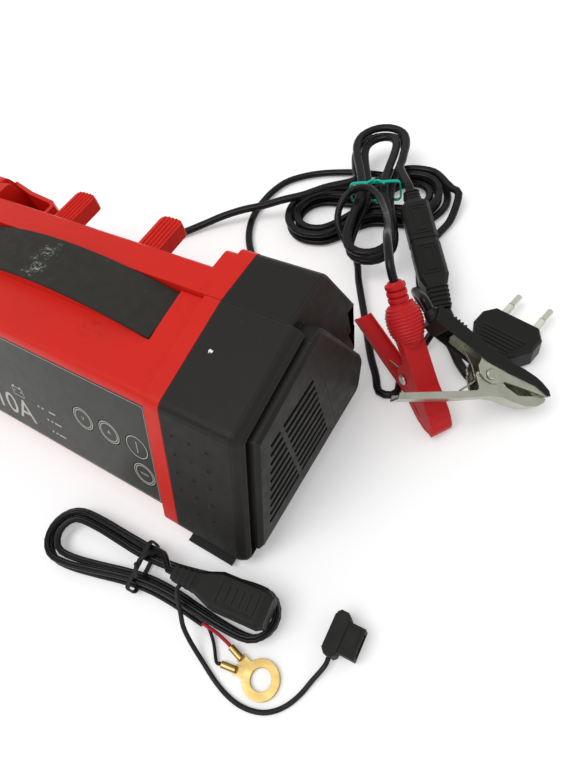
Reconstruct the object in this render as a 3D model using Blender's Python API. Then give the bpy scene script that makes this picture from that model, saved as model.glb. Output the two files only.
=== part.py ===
"""Car battery charger: a two-part case with end caps, its electronics, and its leads.

Every size below is in millimetres; make_object turns them into metres. The origin is on
the floor under the middle of the case, X runs along the case, -Y is the front panel's
side, +Z is up.
"""

import math

import bmesh
import bpy
from mathutils import Matrix, Vector

MM = 0.001

# ---------------------------------------------------------------- driving sizes
GAP = 0.3               # air between two solids that rest on each other
WALL = 2.8              # case wall
SEAM_X = 96.0           # plane between red case and black cap, from the middle
COLLAR_W = 9.0          # raised rim of the red case next to each cap
FOOT_H = 4.5            # rubber feet under the caps
FOOT_PITCH = 6.6
FOOT_LOBES = 4
CASE_H = 86.2           # caps, without feet
PART_Y = 16.8           # plane in which the front and rear halves meet
FRONT_BOTTOM_Y = -66.5
FRONT_TOP_Y = -36.3
FRONT_TOP_DROP = 9.1    # how far the front edge of the top lies below the crest
REAR_TOP_Y = 47.6
REAR_LIP_Y = 66.5
REAR_LIP_Z = 49.0
LOUVRE_PITCH = 14.6     # the stepped rear of the caps
LOUVRE_STEP = 6.6
LOUVRE_RISE = 1.0
LOUVRE_BACK = 2.2       # each lip stands this much further in than the one above
LOUVRE_CURVE = 0.4       # the lips follow a slight curve
LOUVRES = 3
REAR_BOTTOM_Y = 58.0
BODY_INSET = 1.3        # red body below its collars
BODY_LIFT = 10.7        # underside of the red body above the caps' underside
BODY_REAR_Y = 33.3
CREST_DROP = 2.0        # front half's top edge below the rear band
RIB_DEPTH = 2.6         # closing rib of the rear band
BUMP_W = 6.8            # lower step of each collar's rear
BUMP_Y = 44.3

CAP_RIM_X = 132.5       # front half: end of the straight skirt
CAP_REAR_RIM_X = 129.8
SHOULDER_X = 138.0
GROOVE_X = 134.5
SHOULDER_IN = 4.0       # how far in from the skirt the shoulder ends and the groove starts
BLOCK_IN = 7.0
PLATE_X = 142.2         # flat end face with the vents
PLATE_ROUND = 1.8
BLOCK_REAR_TOP_Y = 25.0
BLOCK_REAR_LOW_Y = 51.0

SLOT_COUNT = 10
SLOT_PITCH = 4.75
SLOT_H = 2.5
SLOT_TOP_Z = 66.0
SLOT_BAR = 2.6          # upright bar between the two groups of slots
SLOT_SPLIT_Y = -16.8
SLOT_REAR_Y = 9.8
SLOT_EDGE_TOP_Y = -25.8
SLOT_EDGE_LOW_Y = -44.6

GRIP_HALF = 71.5
GRIP_FRONT_Y = -10.5
GRIP_T = 2.2
GRIP_RISE = 4.5         # crown of the grip above the caps
GRIP_SAG = 10.65        # its ends below its crown
GRIP_TOP_Z = FOOT_H + CASE_H + GRIP_RISE
GRIP_R = GRIP_HALF ** 2 / (2 * GRIP_SAG)
GRIP_SHELF = 1.2        # the red platform stands back under the grip's front edge

PANEL_HALF = 85.6
PANEL_LOW = 12.9        # up the front face, from the caps' underside
PANEL_HIGH = 76.6
PANEL_T = 0.9
BUTTON_R = 7.3
BUTTON_CLEAR = 0.25
BUTTON_T = 1.0
BUTTON_TRAVEL = 0.6
BUTTON_ROW = 46.7       # up the front face
BUTTON_LOW_ROW = 29.1
BUTTON_XS = (38.7, 56.9, 75.5)
BUTTON_LOW_X = 76.9
STEM_R = 1.8
BOARD_T = 1.6
BOARD_BACK = 11.0       # control board behind the panel's face

POST_X = 32.4
POST_W = 14.5
POST_T = 8.0
POST_TOP_Z = 83.6
POST_TIP_Y = 58.5
POST_ROUND = 3.0
BAR_WALL = 2.4
BAR_H = 20.0
BAR_TOP_Z = 83.6
BAR_END_X = -46.0
BAR_END_Y = 46.5
BAR_LEFT_Y = 52.5

GLAND_Z = 24.0
GLAND_R = 5.5
GLAND_OUT = 20.0
GLAND_NECK = 1.2
MAINS_X = 58.0
OUTPUT_X = -66.0

MAINS_D = 5.0           # mains lead
OUTPUT_D = 5.6          # battery lead, two cores side by side
LEAD_D = 4.4            # each clamp's own lead
SMALL_D = 3.4           # accessory lead

# ---------------------------------------------------------------- plain helpers


def clear_scene():
    for obj in list(bpy.data.objects):
        bpy.data.objects.remove(obj, do_unlink=True)


MATERIALS = {}


def material(name, colour, rough=0.5, metal=0.0):
    if name not in MATERIALS:
        made = bpy.data.materials.new(name)
        made.use_nodes = True
        shader = made.node_tree.nodes["Principled BSDF"]
        shader.inputs["Base Color"].default_value = (*colour, 1.0)
        shader.inputs["Roughness"].default_value = rough
        shader.inputs["Metallic"].default_value = metal
        MATERIALS[name] = made
    return MATERIALS[name]


def red():
    return material("red_plastic", (0.62, 0.012, 0.008), 0.38)


def black():
    return material("black_plastic", (0.022, 0.021, 0.02), 0.42)


def rubber():
    return material("black_rubber", (0.015, 0.015, 0.015), 0.6)


def chrome():
    return material("chrome", (0.62, 0.62, 0.6), 0.18, 1.0)


def outward(bm):
    """Turns the faces of one closed body outwards."""
    bmesh.ops.recalc_face_normals(bm, faces=bm.faces)
    if bm.calc_volume(signed=True) < 0:
        bmesh.ops.reverse_faces(bm, faces=bm.faces)
    return bm


def mesh_from(bm, name):
    data = bpy.data.meshes.new(name)
    bm.to_mesh(data)
    bm.free()
    return data


def make_object(name, bm, mat, matrix=None, smooth=False):
    """Scales a mesh drawn in millimetres to metres and places it."""
    bmesh.ops.scale(bm, vec=(MM, MM, MM), verts=bm.verts)
    data = mesh_from(bm, name)
    data.materials.append(mat)
    obj = bpy.data.objects.new(name, data)
    bpy.context.scene.collection.objects.link(obj)
    if smooth:
        data.shade_smooth()
        data.set_sharp_from_angle(angle=math.radians(35))
    if matrix is not None:
        placed = matrix.copy()
        placed.translation = matrix.translation * MM
        obj.matrix_world = placed
    return obj


def corner(before, at, after, radius, steps):
    """Points of a rounded corner of an outline."""
    a, p, b = Vector(before), Vector(at), Vector(after)
    u, v = (a - p).normalized(), (b - p).normalized()
    turn = math.pi - u.angle(v)
    if radius <= 0 or turn < 1e-4:
        return [tuple(p)] * (steps + 1)
    back = min(radius * math.tan(turn / 2), 0.49 * (a - p).length, 0.49 * (b - p).length)
    r = back / math.tan(turn / 2)
    middle = p + (u + v).normalized() * (r / math.cos(turn / 2))
    start, end = p + u * back - middle, p + v * back - middle
    points = []
    for i in range(steps + 1):
        t = i / steps
        w0, w1 = math.sin((1 - t) * turn), math.sin(t * turn)
        points.append(tuple(middle + (start * w0 + end * w1) / math.sin(turn)))
    return points


def chain(corners, steps=3):
    """An open outline through (y, z, radius) corners; its two ends stay sharp."""
    flat = [(y, z) for y, z, _ in corners]
    points = [flat[0]]
    for i in range(1, len(flat) - 1):
        if corners[i][2] > 0:
            points += corner(flat[i - 1], flat[i], flat[i + 1], corners[i][2], steps)
        else:
            points.append(flat[i])
    return points + [flat[-1]]


def inset(corners, distance):
    """Moves an open outline inwards (to its left); its ends slide along y = constant."""
    flat = [Vector((y, z)) for y, z, _ in corners]
    sides = []
    for a, b in zip(flat, flat[1:]):
        along = (b - a).normalized()
        normal = Vector((-along.y, along.x))
        sides.append((a + normal * distance, along))
    moved = []
    p, along = sides[0]
    moved.append(p + along * ((flat[0].x - p.x) / along.x))
    for (p, u), (q, v) in zip(sides, sides[1:]):
        cross = u.x * v.y - u.y * v.x
        moved.append(p + u * (((q - p).x * v.y - (q - p).y * v.x) / cross))
    p, along = sides[-1]
    moved.append(p + along * ((flat[-1].x - p.x) / along.x))
    rounds = [max(r - distance, 0.4) if r > 0 else 0.0 for _, _, r in corners]
    return [(m.x, m.y, r) for m, r in zip(moved, rounds)]


def prism(outline, low, high, axis="x"):
    """A closed outline pushed out along an axis."""
    place = {
        "x": lambda a, b, d: (d, a, b),
        "y": lambda a, b, d: (a, d, b),
        "z": lambda a, b, d: (a, b, d),
    }[axis]
    bm = bmesh.new()
    ends = [[bm.verts.new(place(a, b, d)) for a, b in outline] for d in (low, high)]
    count = len(outline)
    for i in range(count):
        j = (i + 1) % count
        bm.faces.new((ends[0][i], ends[0][j], ends[1][j], ends[1][i]))
    for ring in ends:
        bm.faces.new(ring)
    bmesh.ops.triangulate(bm, faces=bm.faces)
    return outward(bm)


def loft(rings):
    """A closed solid through rings of as many points each."""
    bm = bmesh.new()
    rows = [[bm.verts.new(p) for p in ring] for ring in rings]
    for a, b in zip(rows, rows[1:]):
        for i in range(len(a)):
            j = (i + 1) % len(a)
            bm.faces.new((a[i], a[j], b[j], b[i]))
    for row in (rows[0], rows[-1]):
        bm.faces.new(row)
    bmesh.ops.triangulate(bm, faces=bm.faces)
    return outward(bm)


def box(low, high):
    outline = [(low[0], low[1]), (high[0], low[1]), (high[0], high[1]), (low[0], high[1])]
    return prism(outline, low[2], high[2], "z")


def circle(radius, sides, start=0.0):
    turns = [start + 2 * math.pi * i / sides for i in range(sides)]
    return [(radius * math.cos(t), radius * math.sin(t)) for t in turns]


def turned(profile, sides=24):
    """A closed solid of revolution about Z from (radius, height) pairs, bottom to top."""
    return loft([[(x, y, z) for x, y in circle(r, sides)] for r, z in profile])


def placed(bm, matrix):
    bmesh.ops.transform(bm, matrix=matrix, verts=bm.verts)
    return bm


def along(start, end):
    """A frame whose Z runs from start to end, with its origin at start."""
    way = Vector(end) - Vector(start)
    frame = way.to_track_quat("Z", "Y").to_matrix().to_4x4()
    frame.translation = Vector(start)
    return frame


def rod(start, end, radius, sides=16):
    length = (Vector(end) - Vector(start)).length
    return placed(prism(circle(radius, sides), 0, length, "z"), along(start, end))


def merged(parts):
    """Several closed shapes that don't touch, as one cutter."""
    bm = bmesh.new()
    for part in parts:
        data = mesh_from(part, "piece")
        bm.from_mesh(data)
        bpy.data.meshes.remove(data)
    return bm


def shaped(base, steps, solver="EXACT"):
    """Joins or cuts shapes one after another; each is a mesh drawn in millimetres."""
    scene = bpy.context.scene.collection
    work = bpy.data.objects.new("work", mesh_from(base, "work"))
    scene.objects.link(work)
    for operation, tool in steps:
        cutter = bpy.data.objects.new("tool", mesh_from(tool, "tool"))
        scene.objects.link(cutter)
        modifier = work.modifiers.new("step", "BOOLEAN")
        modifier.operation = operation
        modifier.solver = solver
        modifier.object = cutter
        graph = bpy.context.evaluated_depsgraph_get()
        data = bpy.data.meshes.new_from_object(work.evaluated_get(graph))
        work.modifiers.clear()
        work.data = data
        bpy.data.objects.remove(cutter, do_unlink=True)
    bm = bmesh.new()
    bm.from_mesh(work.data)
    bpy.data.objects.remove(work, do_unlink=True)
    bmesh.ops.remove_doubles(bm, verts=bm.verts, dist=1e-4)
    return bm


def mirrored(bm):
    """The same shape on the other side of the middle."""
    copy = bm.copy()
    bmesh.ops.scale(copy, vec=(-1, 1, 1), verts=copy.verts)
    bmesh.ops.reverse_faces(copy, faces=copy.faces)
    return copy


# ---------------------------------------------------------------- the case's sections

BASE_Z = FOOT_H
TOP_Z = FOOT_H + CASE_H
LEAN = math.atan2(FRONT_TOP_Y - FRONT_BOTTOM_Y, CASE_H - FRONT_TOP_DROP)
FRONT_Y = PART_Y - GAP / 2
REAR_Y = PART_Y + GAP / 2


def front_section(crest=0.0):
    """Front half, from the parting plane's foot round the front to its crest."""
    return [
        (FRONT_Y, TOP_Z - crest, 0),
        (FRONT_TOP_Y, TOP_Z - FRONT_TOP_DROP, 6.0),
        (FRONT_BOTTOM_Y, BASE_Z, 4.0),
        (FRONT_Y, BASE_Z, 0),
    ]


def rear_section():
    """Rear half of a cap: leaning back, then the stepped louvres."""
    corners = [(REAR_Y, BASE_Z, 0), (REAR_BOTTOM_Y - LOUVRE_STEP, BASE_Z, 3.0)]
    for i in reversed(range(LOUVRES)):
        z = REAR_LIP_Z - i * LOUVRE_PITCH
        y = REAR_LIP_Y - LOUVRE_BACK * i - LOUVRE_CURVE * i * i
        corners += [(y - LOUVRE_STEP, z + LOUVRE_RISE, 0.0), (y, z, 0.0)]
    return corners + [(REAR_TOP_Y, TOP_Z, 6.0), (REAR_Y, TOP_Z, 0)]


def plain_rear(top_y, middle_y, low_y, base):
    """Rear half without louvres, for the collars."""
    return [
        (REAR_Y, base, 0),
        (low_y, base, 3.0),
        (middle_y, REAR_LIP_Z + 3, 3.0),
        (top_y, TOP_Z, 4.0),
        (REAR_Y, TOP_Z, 0),
    ]


def front_point(x, up, depth=0.0):
    """A point of the body's front face: up the face, and in from it."""
    face = Vector((0, math.sin(LEAN), math.cos(LEAN)))
    inward = Vector((0, math.cos(LEAN), -math.sin(LEAN)))
    start = Vector((x, FRONT_BOTTOM_Y, BASE_Z))
    return start + face * up + inward * (BODY_INSET + depth)


def front_frame(x, up, depth=0.0):
    """A frame on the front face: X to the right, Y up the face, Z outwards."""
    frame = Matrix.Rotation(math.pi / 2 - LEAN, 4, "X")
    frame.translation = front_point(x, up, depth)
    return frame


def body_front_section():
    inner = inset(front_section(CREST_DROP), BODY_INSET)
    lift = BASE_Z + BODY_LIFT
    front = front_point(0, BODY_LIFT / math.cos(LEAN) + BODY_INSET * math.tan(LEAN)).y
    return [inner[0], inner[1], (front, lift, 1.5), (inner[3][0], lift, 0)]


def grip_top(x, below=0.0):
    return GRIP_TOP_Z - below - x * x / (2 * GRIP_R)


def arch(half, below, floor, steps=20):
    """Outline in X and Z under the grip's arch."""
    xs = [-half + 2 * half * i / steps for i in range(steps + 1)]
    return [(x, grip_top(x, below)) for x in xs] + [(half, floor), (-half, floor)]


def front_shell():
    body = prism(chain(body_front_section()), -SEAM_X + COLLAR_W, SEAM_X - COLLAR_W)
    collar = chain(front_section())
    ends = [
        prism(collar, SEAM_X - COLLAR_W - 0.01, SEAM_X - GAP / 2),
        prism(collar, -SEAM_X + GAP / 2, -SEAM_X + COLLAR_W + 0.01),
    ]
    seat = GRIP_T + GAP
    shelf = prism(arch(GRIP_HALF + 3, seat, TOP_Z - 14), GRIP_FRONT_Y + GRIP_SHELF, FRONT_Y, "y")
    above = [(x, grip_top(x, seat)) for x in
             [-GRIP_HALF - GAP + 2 * (GRIP_HALF + GAP) * i / 20 for i in range(21)]]
    above += [(GRIP_HALF + GAP, TOP_Z + 20), (-GRIP_HALF - GAP, TOP_Z + 20)]
    pocket = prism(above, GRIP_FRONT_Y - GAP, FRONT_Y + 1, "y")
    inner = inset(body_front_section(), WALL)
    cavity = [(FRONT_Y + 1, TOP_Z - 14.5, 0), (FRONT_TOP_Y + 12, TOP_Z - 14.5, 3.0)]
    cavity += [(inner[2][0], inner[2][1], 2.0), (FRONT_Y + 1, inner[2][1], 0)]
    hollow = prism(chain(cavity), -SEAM_X - 1, SEAM_X + 1)
    steps = [("UNION", ends[0]), ("UNION", ends[1]), ("UNION", shelf)]
    steps += [("DIFFERENCE", pocket), ("DIFFERENCE", hollow)]
    steps += [("DIFFERENCE", panel_recess()), ("DIFFERENCE", button_wells())]
    steps += [("UNION", boss) for boss in board_bosses()]
    steps += [("UNION", boss) for boss in power_bosses()]
    return make_object("front_shell", shaped(body, steps), red(), smooth=True)


def panel_recess():
    half, middle = PANEL_HALF + GAP, (PANEL_LOW + PANEL_HIGH) / 2
    up = (PANEL_HIGH - PANEL_LOW) / 2 + GAP
    bm = box((-half, -up, -PANEL_T - GAP), (half, up, 5))
    return placed(bm, front_frame(0, middle))


def button_places():
    return [(x, BUTTON_ROW) for x in BUTTON_XS] + [(BUTTON_LOW_X, BUTTON_LOW_ROW)]


def button_wells():
    """Blind wells for the caps, each with a hole for its stem."""
    parts = []
    depth = BUTTON_T + BUTTON_TRAVEL + GAP
    for x, up in button_places():
        profile = [(STEM_R + GAP, -9), (STEM_R + GAP, -depth), (BUTTON_R + GAP, -depth),
                   (BUTTON_R + GAP, 3)]
        parts.append(placed(turned(profile, 20), front_frame(x, up)))
    return merged(parts)


def board_places():
    low, high = PANEL_LOW + 12, PANEL_HIGH - 22
    return [(x, up) for x in (-PANEL_HALF + 12, PANEL_HALF - 28) for up in (low, high)]


def board_bosses():
    """Posts behind the panel that carry the control board."""
    bosses = []
    for x, up in board_places():
        bm = prism(circle(3.0, 10), -BOARD_BACK + GAP, -PANEL_T - 1.2, "z")
        bosses.append(placed(bm, front_frame(x, up)))
    return bosses


POWER_Z = BASE_Z + BODY_LIFT + WALL + 5.0
POWER_HALF_X = 78.0
POWER_FRONT_Y = -42.0
POWER_REAR_Y = 12.0


def power_places():
    ys = (POWER_FRONT_Y + 6, POWER_REAR_Y - 6)
    return [(x, y) for x in (-POWER_HALF_X + 8, POWER_HALF_X - 8) for y in ys]


def power_bosses():
    low = BASE_Z + BODY_LIFT + 1
    return [
        placed(prism(circle(3.2, 10), low, POWER_Z - GAP, "z"), Matrix.Translation((x, y, 0)))
        for x, y in power_places()
    ]


def post(x):
    """Cord post: a flat tongue with rounded tip corners, from the rear wall."""
    w, r, tip = POST_W / 2, POST_ROUND, POST_TIP_Y
    start = BODY_REAR_Y - WALL + 0.5
    outline = [(-w, start), (w, start)]
    outline += corner((w, start), (w, tip), (-w, tip), r, 3)
    outline += corner((w, tip), (-w, tip), (-w, start), r, 3)
    bm = prism([(x + a, b) for a, b in outline], POST_TOP_Z - POST_T, POST_TOP_Z, "z")
    return bm


def rear_bar():
    """Cord bar on the left of the rear: a wall that stands off the case, with a floor."""
    left = -SEAM_X + COLLAR_W
    line = [(left - 2, BAR_LEFT_Y), (-70, BAR_LEFT_Y - 4), (BAR_END_X - 4, BAR_END_Y),
            (BAR_END_X, BAR_END_Y - 3), (BAR_END_X, BODY_REAR_Y - 1)]
    inner = [(BAR_END_X - BAR_WALL, BODY_REAR_Y - 1), (BAR_END_X - BAR_WALL, BAR_END_Y - 4),
             (BAR_END_X - 5.2, BAR_END_Y - BAR_WALL), (-70, BAR_LEFT_Y - 4 - BAR_WALL),
             (left - 2, BAR_LEFT_Y - BAR_WALL)]
    wall = prism(line + inner, BAR_TOP_Z - BAR_H, BAR_TOP_Z, "z")
    floor = prism(line + [(left - 2, BODY_REAR_Y - 1)],
                  BAR_TOP_Z - BAR_H, BAR_TOP_Z - BAR_H + BAR_WALL, "z")
    return wall, floor


def gland_holes():
    return [rod((x, BODY_REAR_Y - 12, GLAND_Z), (x, BODY_REAR_Y + 20, GLAND_Z),
                GLAND_R - GLAND_NECK + GAP, 16) for x in (MAINS_X, OUTPUT_X)]


def rear_shell():
    base = BASE_Z + BODY_LIFT
    body = [(REAR_Y, base), (BODY_REAR_Y + 2.5, base), (BODY_REAR_Y, TOP_Z - 1.5),
            (BODY_REAR_Y - 1.5, TOP_Z), (REAR_Y, TOP_Z)]
    inside = SEAM_X - COLLAR_W
    bump = chain(plain_rear(BUMP_Y, REAR_LIP_Y - 6, REAR_BOTTOM_Y - 4, base))
    collar = chain(plain_rear(REAR_TOP_Y, REAR_LIP_Y - 2, REAR_BOTTOM_Y, BASE_Z))
    steps = []
    for side in (1, -1):
        a, b, c = side * (inside - BUMP_W), side * (inside + 0.01), side * (SEAM_X - GAP / 2)
        steps.append(("UNION", prism(bump, min(a, b), max(a, b))))
        steps.append(("UNION", prism(collar, min(side * inside, c), max(side * inside, c))))
    steps += [("UNION", post(POST_X)), ("UNION", post(-POST_X))]
    steps += [("UNION", piece) for piece in rear_bar()]
    rib = REAR_Y + RIB_DEPTH
    cavity = [(REAR_Y - 1, base + WALL), (BODY_REAR_Y + 2.5 - WALL, base + WALL),
              (BODY_REAR_Y - WALL, TOP_Z - WALL), (rib, TOP_Z - WALL), (rib, TOP_Z - 14.5),
              (REAR_Y - 1, TOP_Z - 14.5)]
    steps.append(("DIFFERENCE", prism(cavity, -SEAM_X - 1, SEAM_X + 1)))
    pockets = chain(inset(plain_rear(REAR_TOP_Y, REAR_LIP_Y - 2, REAR_BOTTOM_Y, BASE_Z), WALL))
    for side in (1, -1):
        a, b = side * (SEAM_X - COLLAR_W + WALL), side * (SEAM_X + 1)
        steps.append(("DIFFERENCE", prism(pockets, min(a, b), max(a, b))))
    steps += [("DIFFERENCE", hole) for hole in gland_holes()]
    start = prism([(y, z) for y, z in body], -inside, inside)
    return make_object("rear_shell", shaped(start, steps), red(), smooth=True)


# ---------------------------------------------------------------- the caps


def ring(corners, distance, x, steps=3):
    return [(x, y, z) for y, z in chain(inset(corners, distance), steps)]


def slot_cutters():
    slots = []
    for i in range(SLOT_COUNT):
        high = SLOT_TOP_Z - i * SLOT_PITCH
        low = high - SLOT_H
        share = i / (SLOT_COUNT - 1)
        edge = SLOT_EDGE_TOP_Y + (SLOT_EDGE_LOW_Y - SLOT_EDGE_TOP_Y) * share
        for a, b in ((edge, SLOT_SPLIT_Y - SLOT_BAR / 2), (SLOT_SPLIT_Y + SLOT_BAR / 2, SLOT_REAR_Y)):
            slots.append(box((PLATE_X - 6, a, low), (PLATE_X + 2, b, high)))
    return merged(slots)


def cap_front():
    section = front_section()
    start = SEAM_X + GAP / 2
    profile = [(start, 0), (CAP_RIM_X, 0), (CAP_RIM_X + 1.8, 0.6), (SHOULDER_X - 1.3, 2.0),
               (SHOULDER_X, SHOULDER_IN)]
    outer = loft([ring(section, d, x) for x, d in profile])
    opened = [(y + (1 if i in (0, 3) else 0), z, r) for i, (y, z, r) in enumerate(section)]
    trough = prism(chain(inset(opened, SHOULDER_IN + 0.4)), GROOVE_X, SHOULDER_X + 1)
    raised = [(GROOVE_X - 1.5, BLOCK_IN - 0.4), (PLATE_X - PLATE_ROUND, BLOCK_IN),
              (PLATE_X, BLOCK_IN + PLATE_ROUND)]
    block = loft([ring(section, d, x) for x, d in raised])
    inner = [(start - 1, WALL), (CAP_RIM_X - WALL, WALL), (GROOVE_X - WALL, WALL + 2),
             (GROOVE_X - WALL + 0.1, BLOCK_IN + WALL), (PLATE_X - WALL, BLOCK_IN + WALL)]
    hollow = loft([ring(opened, d, x) for x, d in inner])
    return shaped(outer, [("DIFFERENCE", trough), ("UNION", block), ("DIFFERENCE", hollow),
                          ("DIFFERENCE", slot_cutters())], "MANIFOLD")


def block_rear(grow):
    inner = inset(front_section(), BLOCK_IN)
    return [
        (REAR_Y, inner[3][1] - grow, 0),
        (BLOCK_REAR_LOW_Y - 8 + grow, inner[3][1] - grow, 5.0),
        (BLOCK_REAR_LOW_Y + grow, inner[3][1] + 18, 6.0),
        (BLOCK_REAR_TOP_Y + grow, inner[0][1] + grow, 4.0),
        (REAR_Y, inner[0][1] + grow, 0),
    ]


def cap_rear():
    section = rear_section()
    start = SEAM_X + GAP / 2
    profile = [(start, 0), (CAP_REAR_RIM_X, 0), (CAP_REAR_RIM_X + 1.4, 0.5),
               (CAP_REAR_RIM_X + 2.2, 1.6)]
    outer = loft([ring(section, d, x) for x, d in profile])
    end = CAP_REAR_RIM_X + 2.2
    rings = [(end - 3, 0.0), (PLATE_X - PLATE_ROUND, 0.0), (PLATE_X, -PLATE_ROUND)]
    block = loft([[(x, y, z) for y, z in chain(block_rear(grow))] for x, grow in rings])
    slim = plain_rear(REAR_TOP_Y, REAR_LIP_Y - LOUVRE_STEP, REAR_BOTTOM_Y - 4, BASE_Z)
    opened = [(y - (1 if i in (0, 4) else 0), z, 0 if i == 2 else r)
              for i, (y, z, r) in enumerate(slim)]
    hollow = loft([ring(opened, d, x) for x, d in ((start - 1, WALL), (end - WALL, WALL))])
    small = [(y - (1 if i in (0, 4) else 0), z, r)
             for i, (y, z, r) in enumerate(block_rear(-WALL))]
    well = loft([[(x, y, z) for y, z in chain(small)] for x in (end - WALL - 1, PLATE_X - WALL)])
    return shaped(outer, [("UNION", block), ("DIFFERENCE", hollow), ("DIFFERENCE", well)],
                  "MANIFOLD")


def caps():
    for name, bm in (("cap_front", cap_front()), ("cap_rear", cap_rear())):
        make_object(name + "_left", mirrored(bm), black(), smooth=True)
        make_object(name + "_right", bm, black(), smooth=True)


def foot(x, near, far):
    """A rubber strip whose lobes stand on flat lands; each lobe ends just inside the strip."""
    half, shoulder = 0.96 * FOOT_PITCH / 2, BASE_Z - 1.2
    outline = [(-half, BASE_Z - 1.0), (-half, shoulder), (-0.86 * half, 0.42 * shoulder),
               (-0.5 * half, 0.0), (0.5 * half, 0.0), (0.86 * half, 0.42 * shoulder),
               (half, shoulder), (half, BASE_Z - 1.0)]
    strip = box((x, near, BASE_Z - 2.2), (x + FOOT_PITCH * FOOT_LOBES, far, BASE_Z - GAP))
    lobes = []
    for i in range(FOOT_LOBES):
        middle = x + FOOT_PITCH * (i + 0.5)
        lobes.append(("UNION", prism([(middle + u, z) for u, z in outline],
                                     near + 0.4, far - 0.4, "y")))
    return shaped(strip, lobes)


def feet():
    """Ribbed rubber feet under the caps' front and rear edges."""
    for end, ys in (("front", (FRONT_BOTTOM_Y - 1.4, FRONT_BOTTOM_Y + 15)),
                    ("rear", (REAR_BOTTOM_Y - 21, REAR_BOTTOM_Y - 5))):
        bm = foot(SEAM_X + 7, *ys)
        make_object(f"foot_{end}_left", mirrored(bm), rubber())
        make_object(f"foot_{end}_right", bm, rubber())


# ---------------------------------------------------------------- grip, panel, buttons


def grip():
    xs = [-GRIP_HALF + 2 * GRIP_HALF * i / 24 for i in range(25)]
    outline = [(x, grip_top(x)) for x in xs] + [(x, grip_top(x, GRIP_T)) for x in reversed(xs)]
    bm = prism(outline, GRIP_FRONT_Y, FRONT_Y - GAP, "y")
    make_object("grip_pad", bm, rubber(), smooth=True)


def control_panel():
    half, middle = PANEL_HALF, (PANEL_LOW + PANEL_HIGH) / 2
    up = (PANEL_HIGH - PANEL_LOW) / 2
    plate = box((-half, -up, -PANEL_T), (half, up, 0))
    holes = []
    for x, row in button_places():
        bm = prism(circle(BUTTON_R + BUTTON_CLEAR, 28), -PANEL_T - 2, 2, "z")
        holes.append(placed(bm, Matrix.Translation((x, row - middle, 0))))
    bm = shaped(plate, [("DIFFERENCE", merged(holes))])
    make_object("control_panel", placed(bm, front_frame(0, middle)), black())


def buttons():
    names = ("button_volt", "button_amp", "button_power", "button_mode")
    stem = BOARD_BACK - 1.0 - BUTTON_TRAVEL - GAP
    for name, (x, up) in zip(names, button_places()):
        profile = [(STEM_R, -stem), (STEM_R, -BUTTON_T), (BUTTON_R, -BUTTON_T), (BUTTON_R, -0.2),
                   (BUTTON_R - 0.2, 0.0)]
        frame = front_frame(x, up)
        make_object(name, turned(profile, 28), black(), matrix=frame, smooth=True)


def boards():
    green = material("board_green", (0.03, 0.16, 0.07), 0.45)
    places = board_places()
    half_x = max(abs(x) for x, _ in places) + 6
    low, high = places[0][1] - 4, places[1][1] + 8
    plate = box((-half_x, low, -BOARD_T), (half_x, high, 0))
    pads = []
    for x, up in button_places():
        bm = prism(circle(3.2, 12), -BOARD_T / 2, 1.0, "z")
        pads.append(("UNION", placed(bm, Matrix.Translation((x, up, 0)))))
    widest = box((0, low, -BOARD_T), (BUTTON_LOW_X + 5, BUTTON_ROW + 6, 0))
    bm = shaped(plate, [("UNION", widest)] + pads)
    make_object("control_board", placed(bm, front_frame(0, 0, BOARD_BACK)), green)
    low = (-POWER_HALF_X, POWER_FRONT_Y, POWER_Z)
    make_object("power_board", box(low, (POWER_HALF_X, POWER_REAR_Y, POWER_Z + BOARD_T)), green)


def electronics():
    floor = POWER_Z + BOARD_T + GAP
    steel = material("core_steel", (0.35, 0.35, 0.34), 0.4, 0.8)
    copper = material("winding", (0.55, 0.24, 0.08), 0.35, 0.6)
    x, y, half, deep, tall = -38.0, -8.0, 22.0, 16.0, 34.0
    core = box((x - half, y - deep, floor), (x + half, y + deep, floor + tall))
    windows = [box((x + s * (half / 2) - 5, y - deep - 1, floor + 7),
                   (x + s * (half / 2) + 5, y + deep + 1, floor + tall - 7)) for s in (-1, 1)]
    make_object("transformer_core", shaped(core, [("DIFFERENCE", w) for w in windows]), steel)
    outer = box((x - 15.0, y - deep - 6, floor + 7 + GAP),
                (x + 15.0, y + deep + 6, floor + tall - 7 - GAP))
    limb = box((x - (half / 2 - 5) - GAP, y - deep - GAP, floor + 5),
               (x + (half / 2 - 5) + GAP, y + deep + GAP, floor + tall))
    make_object("transformer_winding", shaped(outer, [("DIFFERENCE", limb)]), copper)
    can = placed(turned([(9.0, 0), (9.0, 30), (8.2, 31)], 20), Matrix.Translation((6, -16, floor)))
    make_object("capacitor", can, material("can", (0.05, 0.07, 0.16), 0.4), smooth=True)
    fins, wide, left = 7, 40.0, 20.0
    fin_t = 2.4
    base = box((left, -22.0, floor), (left + wide, 6.0, floor + 5))
    fins = [box((x, -22.0 + 0.4, floor + 4), (x + fin_t, 6.0 - 0.4, floor + 26))
            for x in [left + 0.4 + (wide - 0.8 - fin_t) * i / (fins - 1) for i in range(fins)]]
    make_object("heat_sink", shaped(base, [("UNION", fin) for fin in fins]),
               material("sink", (0.5, 0.5, 0.5), 0.4, 0.9))


FAN_SIDE = 50.0
FAN_T = 15.0
FAN_Y = -10.0
FAN_Z = 42.0


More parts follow.
